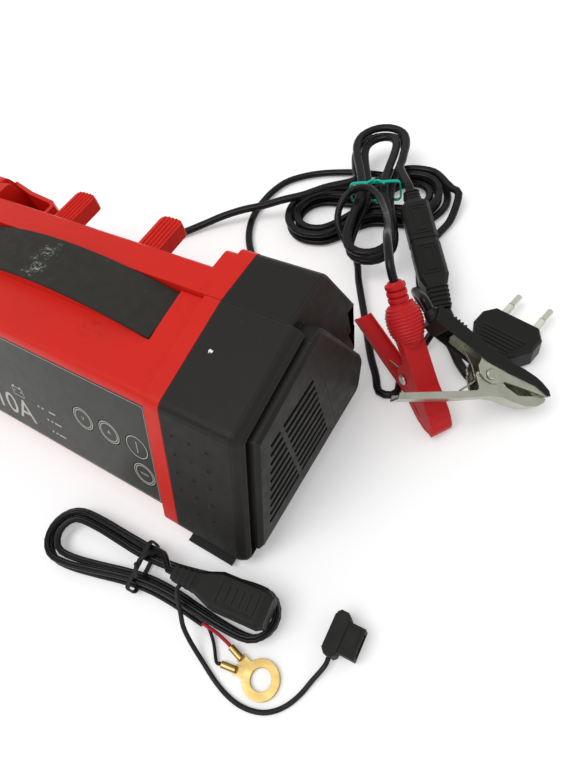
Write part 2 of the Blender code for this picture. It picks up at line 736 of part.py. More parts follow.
def fan():
    """Cooling fan behind the right cap's vents; its rotor turns on a pin of the frame."""
    end = GROOVE_X - WALL - GAP
    start = end - FAN_T
    half = FAN_SIDE / 2
    frame = box((start, FAN_Y - half, FAN_Z - half), (end, FAN_Y + half, FAN_Z + half))
    bore = rod((start - 1, FAN_Y, FAN_Z), (end + 1, FAN_Y, FAN_Z), half - 2, 28)
    arms = [box((start, FAN_Y - half + 1, FAN_Z - 2), (start + 2, FAN_Y + half - 1, FAN_Z + 2)),
            box((start, FAN_Y - 2, FAN_Z - half + 1), (start + 2, FAN_Y + 2, FAN_Z + half - 1)),
            rod((start, FAN_Y, FAN_Z), (start + 3, FAN_Y, FAN_Z), 9, 16),
            rod((start + 2, FAN_Y, FAN_Z), (end - 3, FAN_Y, FAN_Z), 1.5, 10)]
    steps = [("DIFFERENCE", bore)] + [("UNION", arm) for arm in arms]
    make_object("fan_frame", shaped(frame, steps), black())
    hub = turned([(9.0, 0), (9.0, 9.0)], 18)
    blades = []
    for i in range(7):
        blade = box((7.0, -0.7, 0.8), (half - 3.2, 0.7, 8.2))
        placed(blade, Matrix.Rotation(math.radians(32), 4, "X"))
        blade_turn = Matrix.Rotation(2 * math.pi * i / 7, 4, "Z")
        lift = Matrix.Translation((0, 2.2, 0.6))
        blades.append(("UNION", placed(blade, blade_turn @ lift)))
    bore = prism(circle(1.5 + GAP, 10), -1, 11, "z")
    bm = shaped(hub, blades + [("DIFFERENCE", bore)])
    place = along((start + 3 + GAP, FAN_Y, FAN_Z), (end, FAN_Y, FAN_Z))
    make_object("fan_rotor", bm, rubber(), matrix=place)


def glands():
    """Strain reliefs in the rear wall, one for each lead."""
    for name, x, d in (("gland_mains", MAINS_X, MAINS_D), ("gland_output", OUTPUT_X, OUTPUT_D)):
        neck = GLAND_R - GLAND_NECK
        profile = [(neck, -6.0), (neck, 2.6), (GLAND_R, 2.6), (GLAND_R, 5.0), (d / 2 + 1.2, GLAND_OUT)]
        frame = along((x, BODY_REAR_Y, GLAND_Z), (x, BODY_REAR_Y + 10, GLAND_Z))
        make_object(name, turned(profile, 16), rubber(), matrix=frame, smooth=True)


# ---------------------------------------------------------------- leads


def smooth_line(points, count):
    """Points at even steps along a smooth curve through the route's own points."""
    p = [Vector(q) for q in points]
    p = [p[0] * 2 - p[1]] + p + [p[-1] * 2 - p[-2]]
    fine = []
    for a, b, c, d in zip(p, p[1:], p[2:], p[3:]):
        for i in range(24):
            t = i / 24
            fine.append(0.5 * ((2 * b) + (c - a) * t + (2 * a - 5 * b + 4 * c - d) * t * t
                               + (3 * b - a - 3 * c + d) * t ** 3))
    fine.append(p[-2])
    lengths = [0.0]
    for a, b in zip(fine, fine[1:]):
        lengths.append(lengths[-1] + (b - a).length)
    out, j = [], 0
    for i in range(count):
        want = lengths[-1] * i / (count - 1)
        while j < len(fine) - 2 and lengths[j + 1] < want:
            j += 1
        share = (want - lengths[j]) / max(lengths[j + 1] - lengths[j], 1e-9)
        out.append(fine[j].lerp(fine[j + 1], min(share, 1.0)))
    return out


def tube(name, points, diameter, mat, resolution=2):
    curve = bpy.data.curves.new(name, "CURVE")
    curve.dimensions = "3D"
    curve.bevel_depth = diameter / 2 * MM
    curve.bevel_resolution = resolution
    curve.use_fill_caps = True
    curve.materials.append(mat)
    spline = curve.splines.new("POLY")
    spline.points.add(len(points) - 1)
    for slot, p in zip(spline.points, points):
        slot.co = (p[0] * MM, p[1] * MM, p[2] * MM, 1.0)
    obj = bpy.data.objects.new(name, curve)
    bpy.context.scene.collection.objects.link(obj)
    return obj


def length_of(points):
    return sum((Vector(b) - Vector(a)).length for a, b in zip(points, points[1:]))


def least_gap(points, diameter):
    """Least air between stretches of one tube, more than two diameters apart along it."""
    spots, far = [], [0.0]
    for a, b in zip(points, points[1:]):
        far.append(far[-1] + (Vector(b) - Vector(a)).length)
    least = 1e9
    for i in range(len(points) - 1):
        for j in range(i + 2, len(points) - 1):
            if far[j] - far[i + 1] < 2.5 * diameter:
                continue
            least = min(least, segment_gap(points[i], points[i + 1], points[j], points[j + 1]))
    return least - diameter


def segment_gap(a, b, c, d):
    """Distance between two straight pieces."""
    a, b, c, d = Vector(a), Vector(b), Vector(c), Vector(d)
    u, v, w = b - a, d - c, a - c
    uu, uv, vv, uw, vw = u.dot(u), u.dot(v), v.dot(v), u.dot(w), v.dot(w)
    under = uu * vv - uv * uv
    s = 0.0 if under < 1e-9 else min(max((uv * vw - vv * uw) / under, 0.0), 1.0)
    t = min(max((uv * s + vw) / vv, 0.0), 1.0)
    s = min(max((uv * t - uw) / uu, 0.0), 1.0)
    return (a + u * s - c - v * t).length


def hank(centre, heading, run, bend, waist, pitch, layers, turns, start, floor, lift, hand=1):
    """Centreline of a hank: loops drawn in at the waist, spiralling in and out again.

    heading is the direction of its long axis; run is half the length between the bends;
    turns is the number of loops in all, shared by the layers; start is the share of a
    turn at which it begins. A turn runs from the waist of the first side round the far
    bend, back along the second side, and round the near bend; hand -1 turns it round.
    """
    ahead = Vector((math.cos(heading), math.sin(heading), 0))
    across = Vector((ahead.y, -ahead.x, 0)) * hand
    per_layer = turns / layers
    points = []
    steps = int(round(24 * turns))
    for i in range(steps + 1):
        done = turns * i / steps
        layer = min(int(done / per_layer), layers - 1)
        inside = done - layer * per_layer
        rings = inside if layer % 2 else per_layer - inside
        climb = layer + smooth_step((inside - per_layer + 0.25) / 0.5) - smooth_step(
            (0.25 - inside) / 0.5)
        if layer == 0:
            climb = smooth_step((inside - per_layer + 0.25) / 0.5)
        if layer == layers - 1 and layers > 1:
            climb = layer - smooth_step((0.25 - inside) / 0.5)
        share = (start + done) % 1.0
        radius = bend + pitch * rings
        narrow = waist + pitch * 1.08 * rings
        x, y = hank_outline(share, run, radius, narrow)
        z = floor + lift * climb
        points.append(Vector(centre) + ahead * x + across * y + Vector((0, 0, z)))
    return points


def smooth_step(t):
    t = min(max(t, 0.0), 1.0)
    return t * t * (3 - 2 * t)


def hank_outline(share, run, radius, narrow):
    """(along, across) at a share of a turn; the runs take 0.3 of it each, the bends 0.2."""
    def side(t):
        x = run * (2 * t - 1)
        k = smooth_step(abs(2 * t - 1))
        return x, narrow + (radius - narrow) * k
    if share < 0.15:
        x, y = side(0.5 + share / 0.3)
        return x, y
    if share < 0.35:
        turn = math.pi * (share - 0.15) / 0.2
        return run + radius * math.sin(turn), radius * math.cos(turn)
    if share < 0.65:
        x, y = side((share - 0.35) / 0.3)
        return -x, -y
    if share < 0.85:
        turn = math.pi * (share - 0.65) / 0.2
        return -run - radius * math.sin(turn), -radius * math.cos(turn)
    return side((share - 0.85) / 0.3)


def toward(points, at_start, distance):
    """The point a distance beyond one end of a line, straight on."""
    a, b = (points[0], points[1]) if at_start else (points[-1], points[-2])
    return Vector(a) + (Vector(a) - Vector(b)).normalized() * distance


MAINS_HANK = dict(centre=(76.0, 178.0, 0.0), heading=math.radians(36), run=30.0, bend=13.5,
                  waist=4.0, pitch=MAINS_D + 1.1, layers=2, turns=4.05, start=0.20, hand=-1,
                  floor=MAINS_D / 2 + 0.2, lift=MAINS_D + 0.9)
OUTPUT_HANK = dict(centre=(85.0, 178.5, 0.0), heading=math.radians(-68), run=46.0, bend=10.3,
                   waist=3.8, pitch=OUTPUT_D + 1.0, layers=2, turns=2.3, start=0.60, hand=-1,
                   floor=2 * MAINS_D + 6.5, lift=OUTPUT_D + 1.0)
RING_HANK = dict(centre=(99.5, -88.5, 0.0), heading=math.radians(8.4), run=53.0, bend=8.5,
                 waist=2.6, pitch=SMALL_D + 1.1, layers=2, turns=2.55, start=0.42, hand=-1,
                 floor=SMALL_D / 2 + 2.4, lift=SMALL_D + 0.8)

GLAND_FACE_Y = BODY_REAR_Y + GLAND_OUT + GAP
CONNECTOR_TOP = Vector((110.0, 178.0, 24.0))
CONNECTOR_LOW = Vector((161.0, 107.0, 12.0))
CONNECTOR_W = 17.0
CONNECTOR_T = 12.0
CONNECTOR_SPLIT = 40.0
RELIEF_R = 4.6
PLUG_FACE = Vector((200.1, 115.0, 7.6))
PLUG_AIM = math.atan2(0.976, 0.217)
PLUG_W = 35.2
PLUG_T = 13.7
PLUG_LENGTH = 29.0
PLUG_RELIEF = 8.0
PIN_R = 2.0
PIN_APART = 18.6
PIN_SLEEVE = 10.0
PIN_LENGTH = 19.0
TIE_D = 1.6
CLAMP_PARTING = 2.8     # half the distance between the two clamp leads at their connector


def ended(points, diameter):
    """A wound line with a straight run of one diameter at each end."""
    return [toward(points, True, diameter)] + points + [toward(points, False, diameter)]


def count_for(points, diameter):
    return max(6, int(length_of(points) / (2.6 * diameter)) + 1)


def free_line(route, diameter):
    """A smooth line through a route whose first and last steps stay straight."""
    line = smooth_line(route, count_for(route, diameter))
    first, last = (Vector(route[0]), Vector(route[1])), (Vector(route[-2]), Vector(route[-1]))
    step = 1.6 * diameter
    kept = [p for p in line if (p - first[1]).length > step and (p - first[0]).length > step
            and (p - last[0]).length > step and (p - last[1]).length > step]
    for p in kept:
        p.z = max(p.z, diameter / 2 + 0.2)
    return [*first, *kept, *last]


def free_tube(name, route, diameter, mat=None):
    line = free_line(route, diameter)
    tube(name, line, diameter, mat or rubber(), 2)
    print(f"{name}: {length_of(line):.0f} mm")
    return line


def approach(points, at_start, diameter, inward=False):
    """Two points that lead a cord up to the end of a wound line, face to face."""
    near, far = toward(points, at_start, GAP), toward(points, at_start, GAP + 1.5 * diameter)
    return [near, far] if inward else [far, near]


def wound(name, values, diameter, onward=()):
    line = ended(hank(**values), diameter)
    if onward:
        line = line[:-2] + free_line([line[-2], line[-1], *onward], diameter)
    tube(name, line, diameter, rubber(), 1)
    print(f"{name}: {length_of(line):.0f} mm, least gap to itself {least_gap(line, diameter):.2f} mm")
    return line


def at(frame, x, y, z=0.0):
    return frame @ Vector((x, y, z))


def frame_from(pivot, tip, side):
    """A frame at pivot: X towards tip, Z as near to side as it can be."""
    x = (Vector(tip) - Vector(pivot)).normalized()
    z = Vector(side)
    z = (z - x * z.dot(x)).normalized()
    y = z.cross(x)
    frame = Matrix((x, y, z)).transposed().to_4x4()
    frame.translation = Vector(pivot)
    return frame


def mains_lead():
    coil = wound("mains_hank", MAINS_HANK, MAINS_D)
    floor = MAINS_D / 2 + 0.2
    x = MAINS_X
    route = [(x, GLAND_FACE_Y, GLAND_Z), (x, GLAND_FACE_Y + 7, GLAND_Z), (56, 75, 15.5),
             (49, 89, 5), (36, 101, floor), (19, 117, floor), (7, 134, floor), (1, 156, floor),
             (5, 184, floor), (24, 201, floor), (52, 211, floor), (80, 216, floor)]
    free_tube("mains_cord", route + approach(coil, True, MAINS_D), MAINS_D)
    end = PLUG_FACE - plug_way() * (PLUG_LENGTH + PLUG_RELIEF + GAP)
    route = approach(coil, False, MAINS_D, True)
    route += [(134, 186, floor + 1), (131, 168, floor), (130, 150, floor), (139, 127, floor),
              (152, 110, floor), (165, 98, floor), (176, 90, floor), (182.5, 81, floor),
              (184.5, 73, 3.6), (188.5, 69.4, 5.4), end - plug_way() * 5, end]
    free_tube("mains_tail", route, MAINS_D)


def plug_way():
    return Vector((math.cos(PLUG_AIM), math.sin(PLUG_AIM), 0))


def mains_plug():
    """Flat two-pin plug: X runs across it, Y out of its face, Z up."""
    frame = Matrix.Rotation(PLUG_AIM - math.pi / 2, 4, "Z")
    frame.translation = PLUG_FACE
    half, end = PLUG_W / 2, -PLUG_LENGTH
    sides = [(13.0, 0.0), (half, -5.5), (half, -14.0), (12.5, -22.0), (7.0, end)]
    outline = [(-x, y) for x, y in sides] + [(x, y) for x, y in reversed(sides)]
    flat = [(x * 0.94, y * 0.97 - 0.4) for x, y in outline]
    h = PLUG_T / 2
    rings = [(flat, -h), (outline, -h + 1.6), (outline, h - 1.6), (flat, h)]
    body = loft([[(x, y, z) for x, y in line] for line, z in rings])
    relief = rod((0, end + 3, 0), (0, end - PLUG_RELIEF, 0), RELIEF_R - 0.6, 12)
    slit = [("DIFFERENCE", box((-6, end - 3 - 2 * i, 2.6), (6, end - 2 - 2 * i, 8))) for i in range(2)]
    holes = [("DIFFERENCE", rod((s * PIN_APART / 2, -6, 0), (s * PIN_APART / 2, 3, 0),
                                PIN_R + GAP, 12)) for s in (-1, 1)]
    body = shaped(body, [("UNION", relief)] + slit + holes)
    make_object("plug_body", body, black(), matrix=frame)
    pale = material("pin_sleeve", (0.75, 0.76, 0.66), 0.45)
    for name, s in (("left", -1), ("right", 1)):
        x = s * PIN_APART / 2
        sleeve = rod((x, -5.6, 0), (x, PIN_SLEEVE, 0), PIN_R, 12)
        bore = rod((x, -9, 0), (x, PIN_SLEEVE + 2, 0), PIN_R * 0.6 + GAP / 2, 12)
        make_object(f"pin_sleeve_{name}", shaped(sleeve, [("DIFFERENCE", bore)]), pale, matrix=frame)
        core = rod((x, -5.6, 0), (x, PIN_SLEEVE + 2, 0), PIN_R * 0.6, 12)
        tip = placed(turned([(PIN_R, 0), (PIN_R, PIN_LENGTH - PIN_SLEEVE - 1.2), (PIN_R * 0.7, PIN_LENGTH
                            - PIN_SLEEVE - GAP)], 12), along((x, PIN_SLEEVE + GAP, 0), (x, 40, 0)))
        make_object(f"pin_{name}", shaped(core, [("UNION", tip)]), chrome(), matrix=frame)


def connector_frame(start, end):
    return frame_from(start, end, (0, 0, 1))


def slab_ring(x, width, height):
    """Eight-sided ring: a rectangle with cut corners, across a lead."""
    w, h = width / 2, height / 2
    c = min(w, h) * 0.35
    points = [(w, h - c), (w - c, h), (-w + c, h), (-w, h - c), (-w, -h + c), (-w + c, -h),
              (w - c, -h), (w, -h + c)]
    return [(x, a, b) for a, b in points]


def connector(name, start, end, stations, mat=None):
    rings = [slab_ring(x, w, h) for x, w, h in stations]
    make_object(name, loft(rings), mat or black(), matrix=connector_frame(start, end))


def output_lead():
    coil = wound("output_hank", OUTPUT_HANK, OUTPUT_D)
    floor = OUTPUT_D / 2 + 0.2
    x = OUTPUT_X
    route = [(x, GLAND_FACE_Y, GLAND_Z), (x, GLAND_FACE_Y + 8, GLAND_Z), (-63.5, 76, 15),
             (-57, 92, 4), (-44, 108, floor), (-27, 126, 4.6), (-8, 140, 9.2),
             (6, 148, 10.2), (18, 153.5, 13.4), (30, 160, 15.4), (42, 169, 15.6), (51, 179, 16)]
    free_tube("output_cord", route + approach(coil, True, OUTPUT_D), OUTPUT_D)
    way = (CONNECTOR_LOW - CONNECTOR_TOP).normalized()
    start = CONNECTOR_TOP - way * GAP
    route = approach(coil, False, OUTPUT_D, True)
    route += [(101.6, 193.6, 26.0), start - way * OUTPUT_D * 1.2, start]
    free_tube("output_tail", route, OUTPUT_D)
    length = (CONNECTOR_LOW - CONNECTOR_TOP).length
    w, t, r = CONNECTOR_W, CONNECTOR_T, 2 * RELIEF_R
    split = CONNECTOR_SPLIT
    connector("connector_socket", CONNECTOR_TOP, CONNECTOR_LOW,
              [(0, r - 1, r - 1), (8, r, r), (12, w, t), (split, w, t)])
    connector("connector_plug", CONNECTOR_TOP, CONNECTOR_LOW,
              [(split + GAP, w - 0.6, t - 0.6), (split + 3, w - 0.6, t - 0.6), (split + 4, w, t),
               (length - 21, w, t), (length - 15, r + 3, r), (length, r + 1, r - 2)])
    tie("output_tie", OUTPUT_HANK, OUTPUT_D, 0.5, material("green_tie", (0.02, 0.42, 0.25), 0.6))


def hank_half_width(values, diameter, x):
    rings = values["turns"] / values["layers"]
    radius = values["bend"] + values["pitch"] * rings
    narrow = values["waist"] + values["pitch"] * 1.08 * rings
    return narrow + (radius - narrow) * smooth_step(abs(x) / values["run"]) + diameter / 2


def tie(name, values, diameter, x, mat):
    """A wire tie closed round a hank's waist, x from its middle."""
    reach = hank_half_width(values, diameter, x) + 0.5 + TIE_D / 2
    low = values["floor"] - diameter / 2 - 0.45 - TIE_D / 2
    high = values["floor"] + values["lift"] + diameter / 2 + 0.5 + TIE_D / 2
    low = max(low, TIE_D / 2 + 0.05)
    h = values["heading"]
    ahead, across = Vector((math.cos(h), math.sin(h), 0)), Vector((math.sin(h), -math.cos(h), 0))
    middle = Vector(values["centre"]) + ahead * x
    ring_points = [(-reach, low), (reach, low), (reach, high), (-reach, high)]
    line = []
    for i in range(4):
        a, b, c = ring_points[i - 1], ring_points[i], ring_points[(i + 1) % 4]
        line += corner(a, b, c, 2.5, 3)
    ends = [middle + across * y + Vector((0, 0, z)) for y, z in line]
    obj = tube(name, ends, TIE_D, mat, 1)
    obj.data.splines[0].use_cyclic_u = True


RED_CLAMP = dict(pivot=(167.1, 55.9, 20.5), tip=(189.0, 39.7, 3.7), side=(-0.507, -0.848, 0.155))
BLACK_CLAMP = dict(pivot=(199.73, 65.79, 25.14), tip=(225.86, 74.06, 9.47),
                   side=(0.4401, -0.1465, 0.8859))
SLEEVE_HALF = 7.0       # clamps: half widths, from outside inwards
ARM_HALF = 6.1
PLATE_T = 0.9
RIVET_R = 1.7
SPRING_R = 3.4
SPRING_D = 1.0
OUTER_BACK = [(32.4, 0.6), (31.0, 3.0), (26.5, 5.7), (22.6, 7.2), (16.0, 8.6), (9.3, 9.2),
              (0.0, 11.8), (-10.3, 14.8), (-21.6, 18.4), (-34.0, 22.6)]
ARM_BACK = [(31.6, 0.3), (29.8, 2.2), (26.0, 4.2), (22.6, 5.4), (16.0, 6.8), (9.3, 7.4),
            (0.0, 10.0), (-10.3, 13.0), (-20.0, 16.0)]
EAR = [(-10.0, 9.0), (-6.5, 6.5), (-7.2, 2.0), (-5.5, -1.5), (-2.5, -3.5), (1.5, -4.2),
       (4.5, -3.2), (8.0, -0.9), (20.0, -0.5), (31.6, -0.2)]
LOWER_BACK = [(31.5, -0.9), (31.0, -3.0), (28.0, -6.0), (22.0, -8.2), (15.0, -8.6), (9.3, -8.4),
              (3.0, -10.0), (-12.3, -16.8), (-27.7, -22.6), (-41.0, -27.8)]
LOWER_FACE = [(-41.0, -24.6), (-27.7, -19.2), (-13.3, -13.4), (-4.0, -9.4), (-3.6, -8.0),
              (-7.0, -2.0), (-4.5, 2.5), (0.0, 4.6), (4.2, 2.8), (8.0, -1.4), (10.0, -2.8),
              (17.0, -4.6), (25.0, -1.9), (31.0, -0.9)]
RELIEF_FROM = (-33.0, 19.4)
RELIEF_TO = (-44.5, 24.6)


def channel(back, face, half, thick, trim=1.2):
    """A folded strip: a back with two side plates, open towards its face."""
    up = 1 if back[0][1] > face[-1][1] or back[4][1] > 0 else -1
    solid = prism(back + face, -half, half, "z")
    inner = [(x, y - up * thick) for x, y in back]
    inner[0] = (back[0][0] - trim, inner[0][1])
    far = -30 * up
    cutter = prism([(back[0][0] - trim, far)] + [(min(x, back[0][0] - trim), y) for x, y in inner]
                   + [(inner[-1][0] - 2, inner[-1][1]), (inner[-1][0] - 2, far)],
                   -half + thick, half - thick, "z")
    return solid, cutter


def rivet_bore(radius=RIVET_R + GAP):
    return prism(circle(radius, 16), -20, 20, "z")


def spring(name, frame, half):
    """Torsion spring round the rivet, a leg along each handle."""
    turns, points = 3, []
    span = 2 * (half - 0.9)
    for i in range(turns * 9 + 1):
        turn = math.radians(200) - 2 * math.pi * i / 9
        points.append((SPRING_R * math.cos(turn), SPRING_R * math.sin(turn),
                       -span / 2 + span * i / (turns * 9)))
    first, last = points[0], points[-1]
    leg_a = [(-12.0, 10.2, first[2]), (-6.2, 4.4, first[2])]
    leg_b = [(-6.0, -5.5, last[2]), (-12.0, -12.4, last[2])]
    line = [at(frame, *p) for p in leg_a + points + leg_b]
    tube(name, line, SPRING_D, chrome(), 1)
    near = least_gap([Vector(p) for p in leg_a + points + leg_b], SPRING_D)
    print(f"{name}: least gap to itself {near:.2f} mm")


def clamp_relief(radii, start=RELIEF_FROM, end=RELIEF_TO):
    frame = along((*start, 0), (*end, 0))
    length = (Vector(end) - Vector(start)).length
    steps = len(radii) - 1
    profile = [(r, length * i / steps) for i, r in enumerate(radii)]
    return placed(turned(profile, 14), frame)


def rivet(name, frame):
    head = ARM_HALF + GAP
    profile = [(2.2, -head - 1.0), (2.7, -head - 0.4), (2.7, -head), (RIVET_R, -head),
               (RIVET_R, head), (2.7, head), (2.7, head + 0.4), (2.2, head + 1.0)]
    make_object(name, turned(profile, 16), chrome(), matrix=frame, smooth=True)


def black_clamp():
    frame = frame_from(**BLACK_CLAMP)
    face = [(-34.0, 14.6), (-21.6, 10.8), (-10.0, 7.4), (-4.0, 5.6), (9.0, 3.9), (24.0, 2.9),
            (31.4, 0.4)]
    solid = prism(OUTER_BACK + face, -SLEEVE_HALF, SLEEVE_HALF, "z")
    cut = [(31.9, -2.0)] + [(x, y + GAP) for x, y in ARM_BACK] + [(-27.0, 17.8), (-27.0, 4.0)]
    inner = prism(cut, -ARM_HALF - GAP, ARM_HALF + GAP, "z")
    teeth = [("DIFFERENCE", box((-33.2 + 2.4 * i, 14.0, -8), (-32.0 + 2.4 * i, 17.6, -6.2)))
             for i in range(2)]
    relief = clamp_relief((4.0, 4.0, 3.4), (-32.0, 18.0), (-36.0, 21.6))
    make_object("black_clamp_sleeve", shaped(solid, [("DIFFERENCE", inner), ("UNION", relief)] + teeth),
                black(), matrix=frame)
    solid, cutter = channel(ARM_BACK, [(-20.0, 12.2)] + EAR, ARM_HALF, PLATE_T)
    make_object("black_clamp_arm", shaped(solid, [("DIFFERENCE", cutter), ("DIFFERENCE", rivet_bore())]),
                chrome(), matrix=frame)
    moving_arm("black_clamp_lever", frame, chrome())
    rivet("black_clamp_rivet", frame)
    spring("black_clamp_spring", frame, ARM_HALF - 2 * PLATE_T - 2 * GAP)


def moving_arm(name, frame, mat):
    solid, cutter = channel(LOWER_BACK, LOWER_FACE, ARM_HALF - PLATE_T - GAP, PLATE_T)
    make_object(name, shaped(solid, [("DIFFERENCE", cutter), ("DIFFERENCE", rivet_bore())]),
                mat, matrix=frame)


def red_clamp():
    frame = frame_from(**RED_CLAMP)
    scarlet = material("clamp_red", (0.6, 0.02, 0.015), 0.4)
    face = [(-34.0, 15.0), (-21.6, 11.4)] + EAR
    solid = prism(OUTER_BACK + face, -ARM_HALF, ARM_HALF, "z")
    inner = [(x, y - 1.8) for x, y in OUTER_BACK[1:8]]
    cut = [(31.0, -12.0)] + inner + [(-13.0, 13.0), (-13.0, -12.0)]
    inner = prism(cut, -ARM_HALF + PLATE_T, ARM_HALF - PLATE_T, "z")
    belly = clamp_relief((4.6, 6.6, 8.2, 8.6, 8.2, 6.4), (-13.5, 13.2), (-34.0, 19.8))
    relief = clamp_relief((4.8, 4.8, 3.8, 4.8, 3.8, 4.6, 3.4))
    make_object("red_clamp_arm", shaped(solid, [("DIFFERENCE", inner), ("UNION", belly), ("UNION", relief),
                                                ("DIFFERENCE", rivet_bore())]), scarlet, matrix=frame)
    moving_arm("red_clamp_lever", frame, scarlet)
    rivet("red_clamp_rivet", frame)
    spring("red_clamp_spring", frame, ARM_HALF - 2 * PLATE_T - 2 * GAP)


def clamp_leads():
    way = (CONNECTOR_LOW - CONNECTOR_TOP).normalized()
    side = Vector((way.y, -way.x, 0)).normalized()
    floor = LEAD_D / 2 + 0.2
    start = CONNECTOR_LOW + way * GAP
    red_start, black_start = start - side * CLAMP_PARTING, start + side * CLAMP_PARTING
    frame = frame_from(**RED_CLAMP)
    a, b = Vector((*RELIEF_FROM, 0)), Vector((*RELIEF_TO, 0))
    out = (b - a).normalized()
    end, before = frame @ (b + out * GAP), frame @ (b + out * (GAP + 1.6 * LEAD_D))
    if red_start.x > black_start.x:
        red_start, black_start = black_start, red_start
    route = [red_start, red_start + way * LEAD_D * 1.3, (160.5, 92, 5), (157, 78, floor),
             (156, 65, floor), (159, 55, floor), (155.5, 47.6, floor), (149, 50, floor),
             (143.5, 58, floor), (137.0, 66, floor), (128, 79, 3.6), (116, 97, 5.6),
             (105, 113, 7.4), (96, 128, 8), (87.5, 136.5, 9), (80, 140.5, 11.2), (74.5, 144.5, 16),
             (71, 156, 22.5), (77, 165.5, 29.8), (90, 165, 33), (103, 153, 35), (116, 134, 42),
             (128, 112, 58), (137, 94, 71), before, end]
    free_tube("red_lead", route, LEAD_D)
    frame = frame_from(**BLACK_CLAMP)
    a, b = Vector((-32.0, 18.0, 0)), Vector((-36.0, 21.6, 0))
    out = (b - a).normalized()
    end, before = frame @ (b + out * GAP), frame @ (b + out * (GAP + 1.4 * LEAD_D))
    route = [black_start, black_start + way * LEAD_D * 1.2, (168, 95, 15), (161, 94, 22),
             (156, 93, 30), (153, 91, 39), (154, 88.5, 47), (157.5, 84.5, 51.5), before, end]
    free_tube("black_lead", route, LEAD_D)


RING_CENTRE = Vector((168.0, -102.0, 0))
RING_R = 8.5
RING_HOLE_R = 4.8
RING_T = 0.8
BARREL_R = 1.6
BARREL_FROM = 12.0
BARREL_TO = 19.0
WIRE_D = 1.6


def ring_terminal(name, heading, lift):
    """A stamped ring with a crimped barrel; X runs from the ring to the barrel."""
    frame = Matrix.Rotation(heading, 4, "Z")
    frame.translation = RING_CENTRE + Vector((0, 0, lift))
    plate = prism(circle(RING_R, 28), 0, RING_T, "z")
    tongue = box((RING_R - 1.5, -2.2, 0), (BARREL_FROM + 1, 2.2, RING_T))
    barrel = rod((BARREL_FROM, 0, BARREL_R), (BARREL_TO, 0, BARREL_R), BARREL_R, 12)
    hole = prism(circle(RING_HOLE_R, 24), -1, RING_T + 1, "z")
    steps = [("UNION", tongue), ("UNION", barrel), ("DIFFERENCE", hole)]
    brass = material("brass", (0.55, 0.4, 0.13), 0.35, 1.0)
    make_object(name, shaped(plate, steps), brass, matrix=frame)
    way = frame.to_3x3() @ Vector((1, 0, 0))
    return frame @ Vector((BARREL_TO + GAP, 0, BARREL_R)), way


STRAP_D = 2.2
CAP_MIDDLE = Vector((192.7, -70.0, 5.4))
CAP_AIM = math.radians(93.5)


def cap_on_strap(start, side):
    """Soft cap for the connector on a thin strap: X along its grip, -Y out of its mouth."""
    frame = Matrix.Rotation(CAP_AIM, 4, "Z")
    frame.translation = CAP_MIDDLE
    block = loft([[(x, y, z) for y, z in ((-7.2, -4.4), (-7.2, 4.4), (6, 4.4), (6, -4.4))]
                  for x in (-6.7, 6.7)])
    grip_ridge = prism(corner_box(-9.6, 9.6, 0.4, 6.6, 1.4), -5.0, 5.0, "z")
    pocket = box((-5.2, -9, -2.8), (5.2, 3.4, 2.8))
    bar = box((-7.6, 6.0, -1.2), (7.6, 7.6, 2.2))
    steps = [("UNION", grip_ridge), ("UNION", bar), ("DIFFERENCE", pocket)]
    make_object("ring_lead_cap", shaped(block, steps), rubber(), matrix=frame)
    end = frame @ Vector((-9.6 - GAP, 3.6, -1.4))
    back = frame.to_3x3() @ Vector((-1, 0, 0))
    z = STRAP_D / 2 + 0.2
    route = [start, start + side * 2.6, (122, -95.5, 12.8), (128, -101.5, 11.2),
             (133.5, -105.5, 6.0), (139.5, -108.5, 2.2), (147, -111.5, z), (157, -114.3, z),
             (167, -114.6, z), (176, -111.5, z), (182.5, -105, z), (186.4, -96, z),
             (188.2, -88, 2.6), end + back * 3.4, end]
    free_tube("ring_lead_strap", route, STRAP_D)


def corner_box(left, right, low, high, cut):
    """Rectangle with cut corners."""
    return [(left + cut, low), (right - cut, low), (right, low + cut), (right, high - cut),
            (right - cut, high), (left + cut, high), (left, high - cut), (left, low + cut)]


def accessory():
    """Ring-terminal lead, tied in a hank of its own, with a cap on a strap."""
    z = RING_HANK["floor"] + RING_HANK["lift"] + SMALL_D / 2 + 0.5
    start, end = Vector((112.0, -84.6, z + 4.6)), Vector((162.0, -78.0, z + 5.2))
    way = (end - start).normalized()
    face = start - way * GAP
    coil = wound("ring_lead_hank", RING_HANK, SMALL_D,
                 [(97.5, -79.9, 9.8), (103, -81.6, 13.4), face - way * SMALL_D, face])
    tie("ring_lead_tie", RING_HANK, SMALL_D, -8.5, black())
    connector("ring_connector", start, end,
              [(0, 7.0, 6.4), (11, 9.0, 7.6), (15, 11.0, 9.0), (24, 17.0, 10.0), (46, 17.0, 10.0),
               (50, 13.0, 8.5)])
    split = toward(coil, True, GAP)
    out = (Vector(coil[0]) - Vector(coil[1])).normalized()
    for name, heading, lift, shift in (("a", 167, 1.25, 0.85), ("b", 191, 0.15, -0.85)):
        end, away = ring_terminal(f"ring_terminal_{name}", math.radians(heading), lift)
        begin = split + Vector((0, 0, shift * 1.1))
        route = [begin, begin + out * 2.4, (begin + end) / 2 + Vector((0, 0.6, -0.6)),
                 end + away * 2.4, end]
        colour = material("wire_red", (0.45, 0.01, 0.03), 0.45) if name == "a" else rubber()
        free_tube(f"ring_wire_{name}", route, WIRE_D, colour)
    side = Vector((way.y, -way.x, 0)).normalized()
    cap_on_strap(start + way * 5 + side * (3.95 + GAP), side)


def leads():
    mains_lead()
    mains_plug()
    output_lead()
    clamp_leads()
    black_clamp()
    red_clamp()
    accessory()


def main():
    clear_scene()
    front_shell()
    rear_shell()
    caps()
    feet()
    grip()
    control_panel()
    buttons()
    boards()
    electronics()
    fan()
    glands()
    leads()


if __name__ == "__main__":
    main()
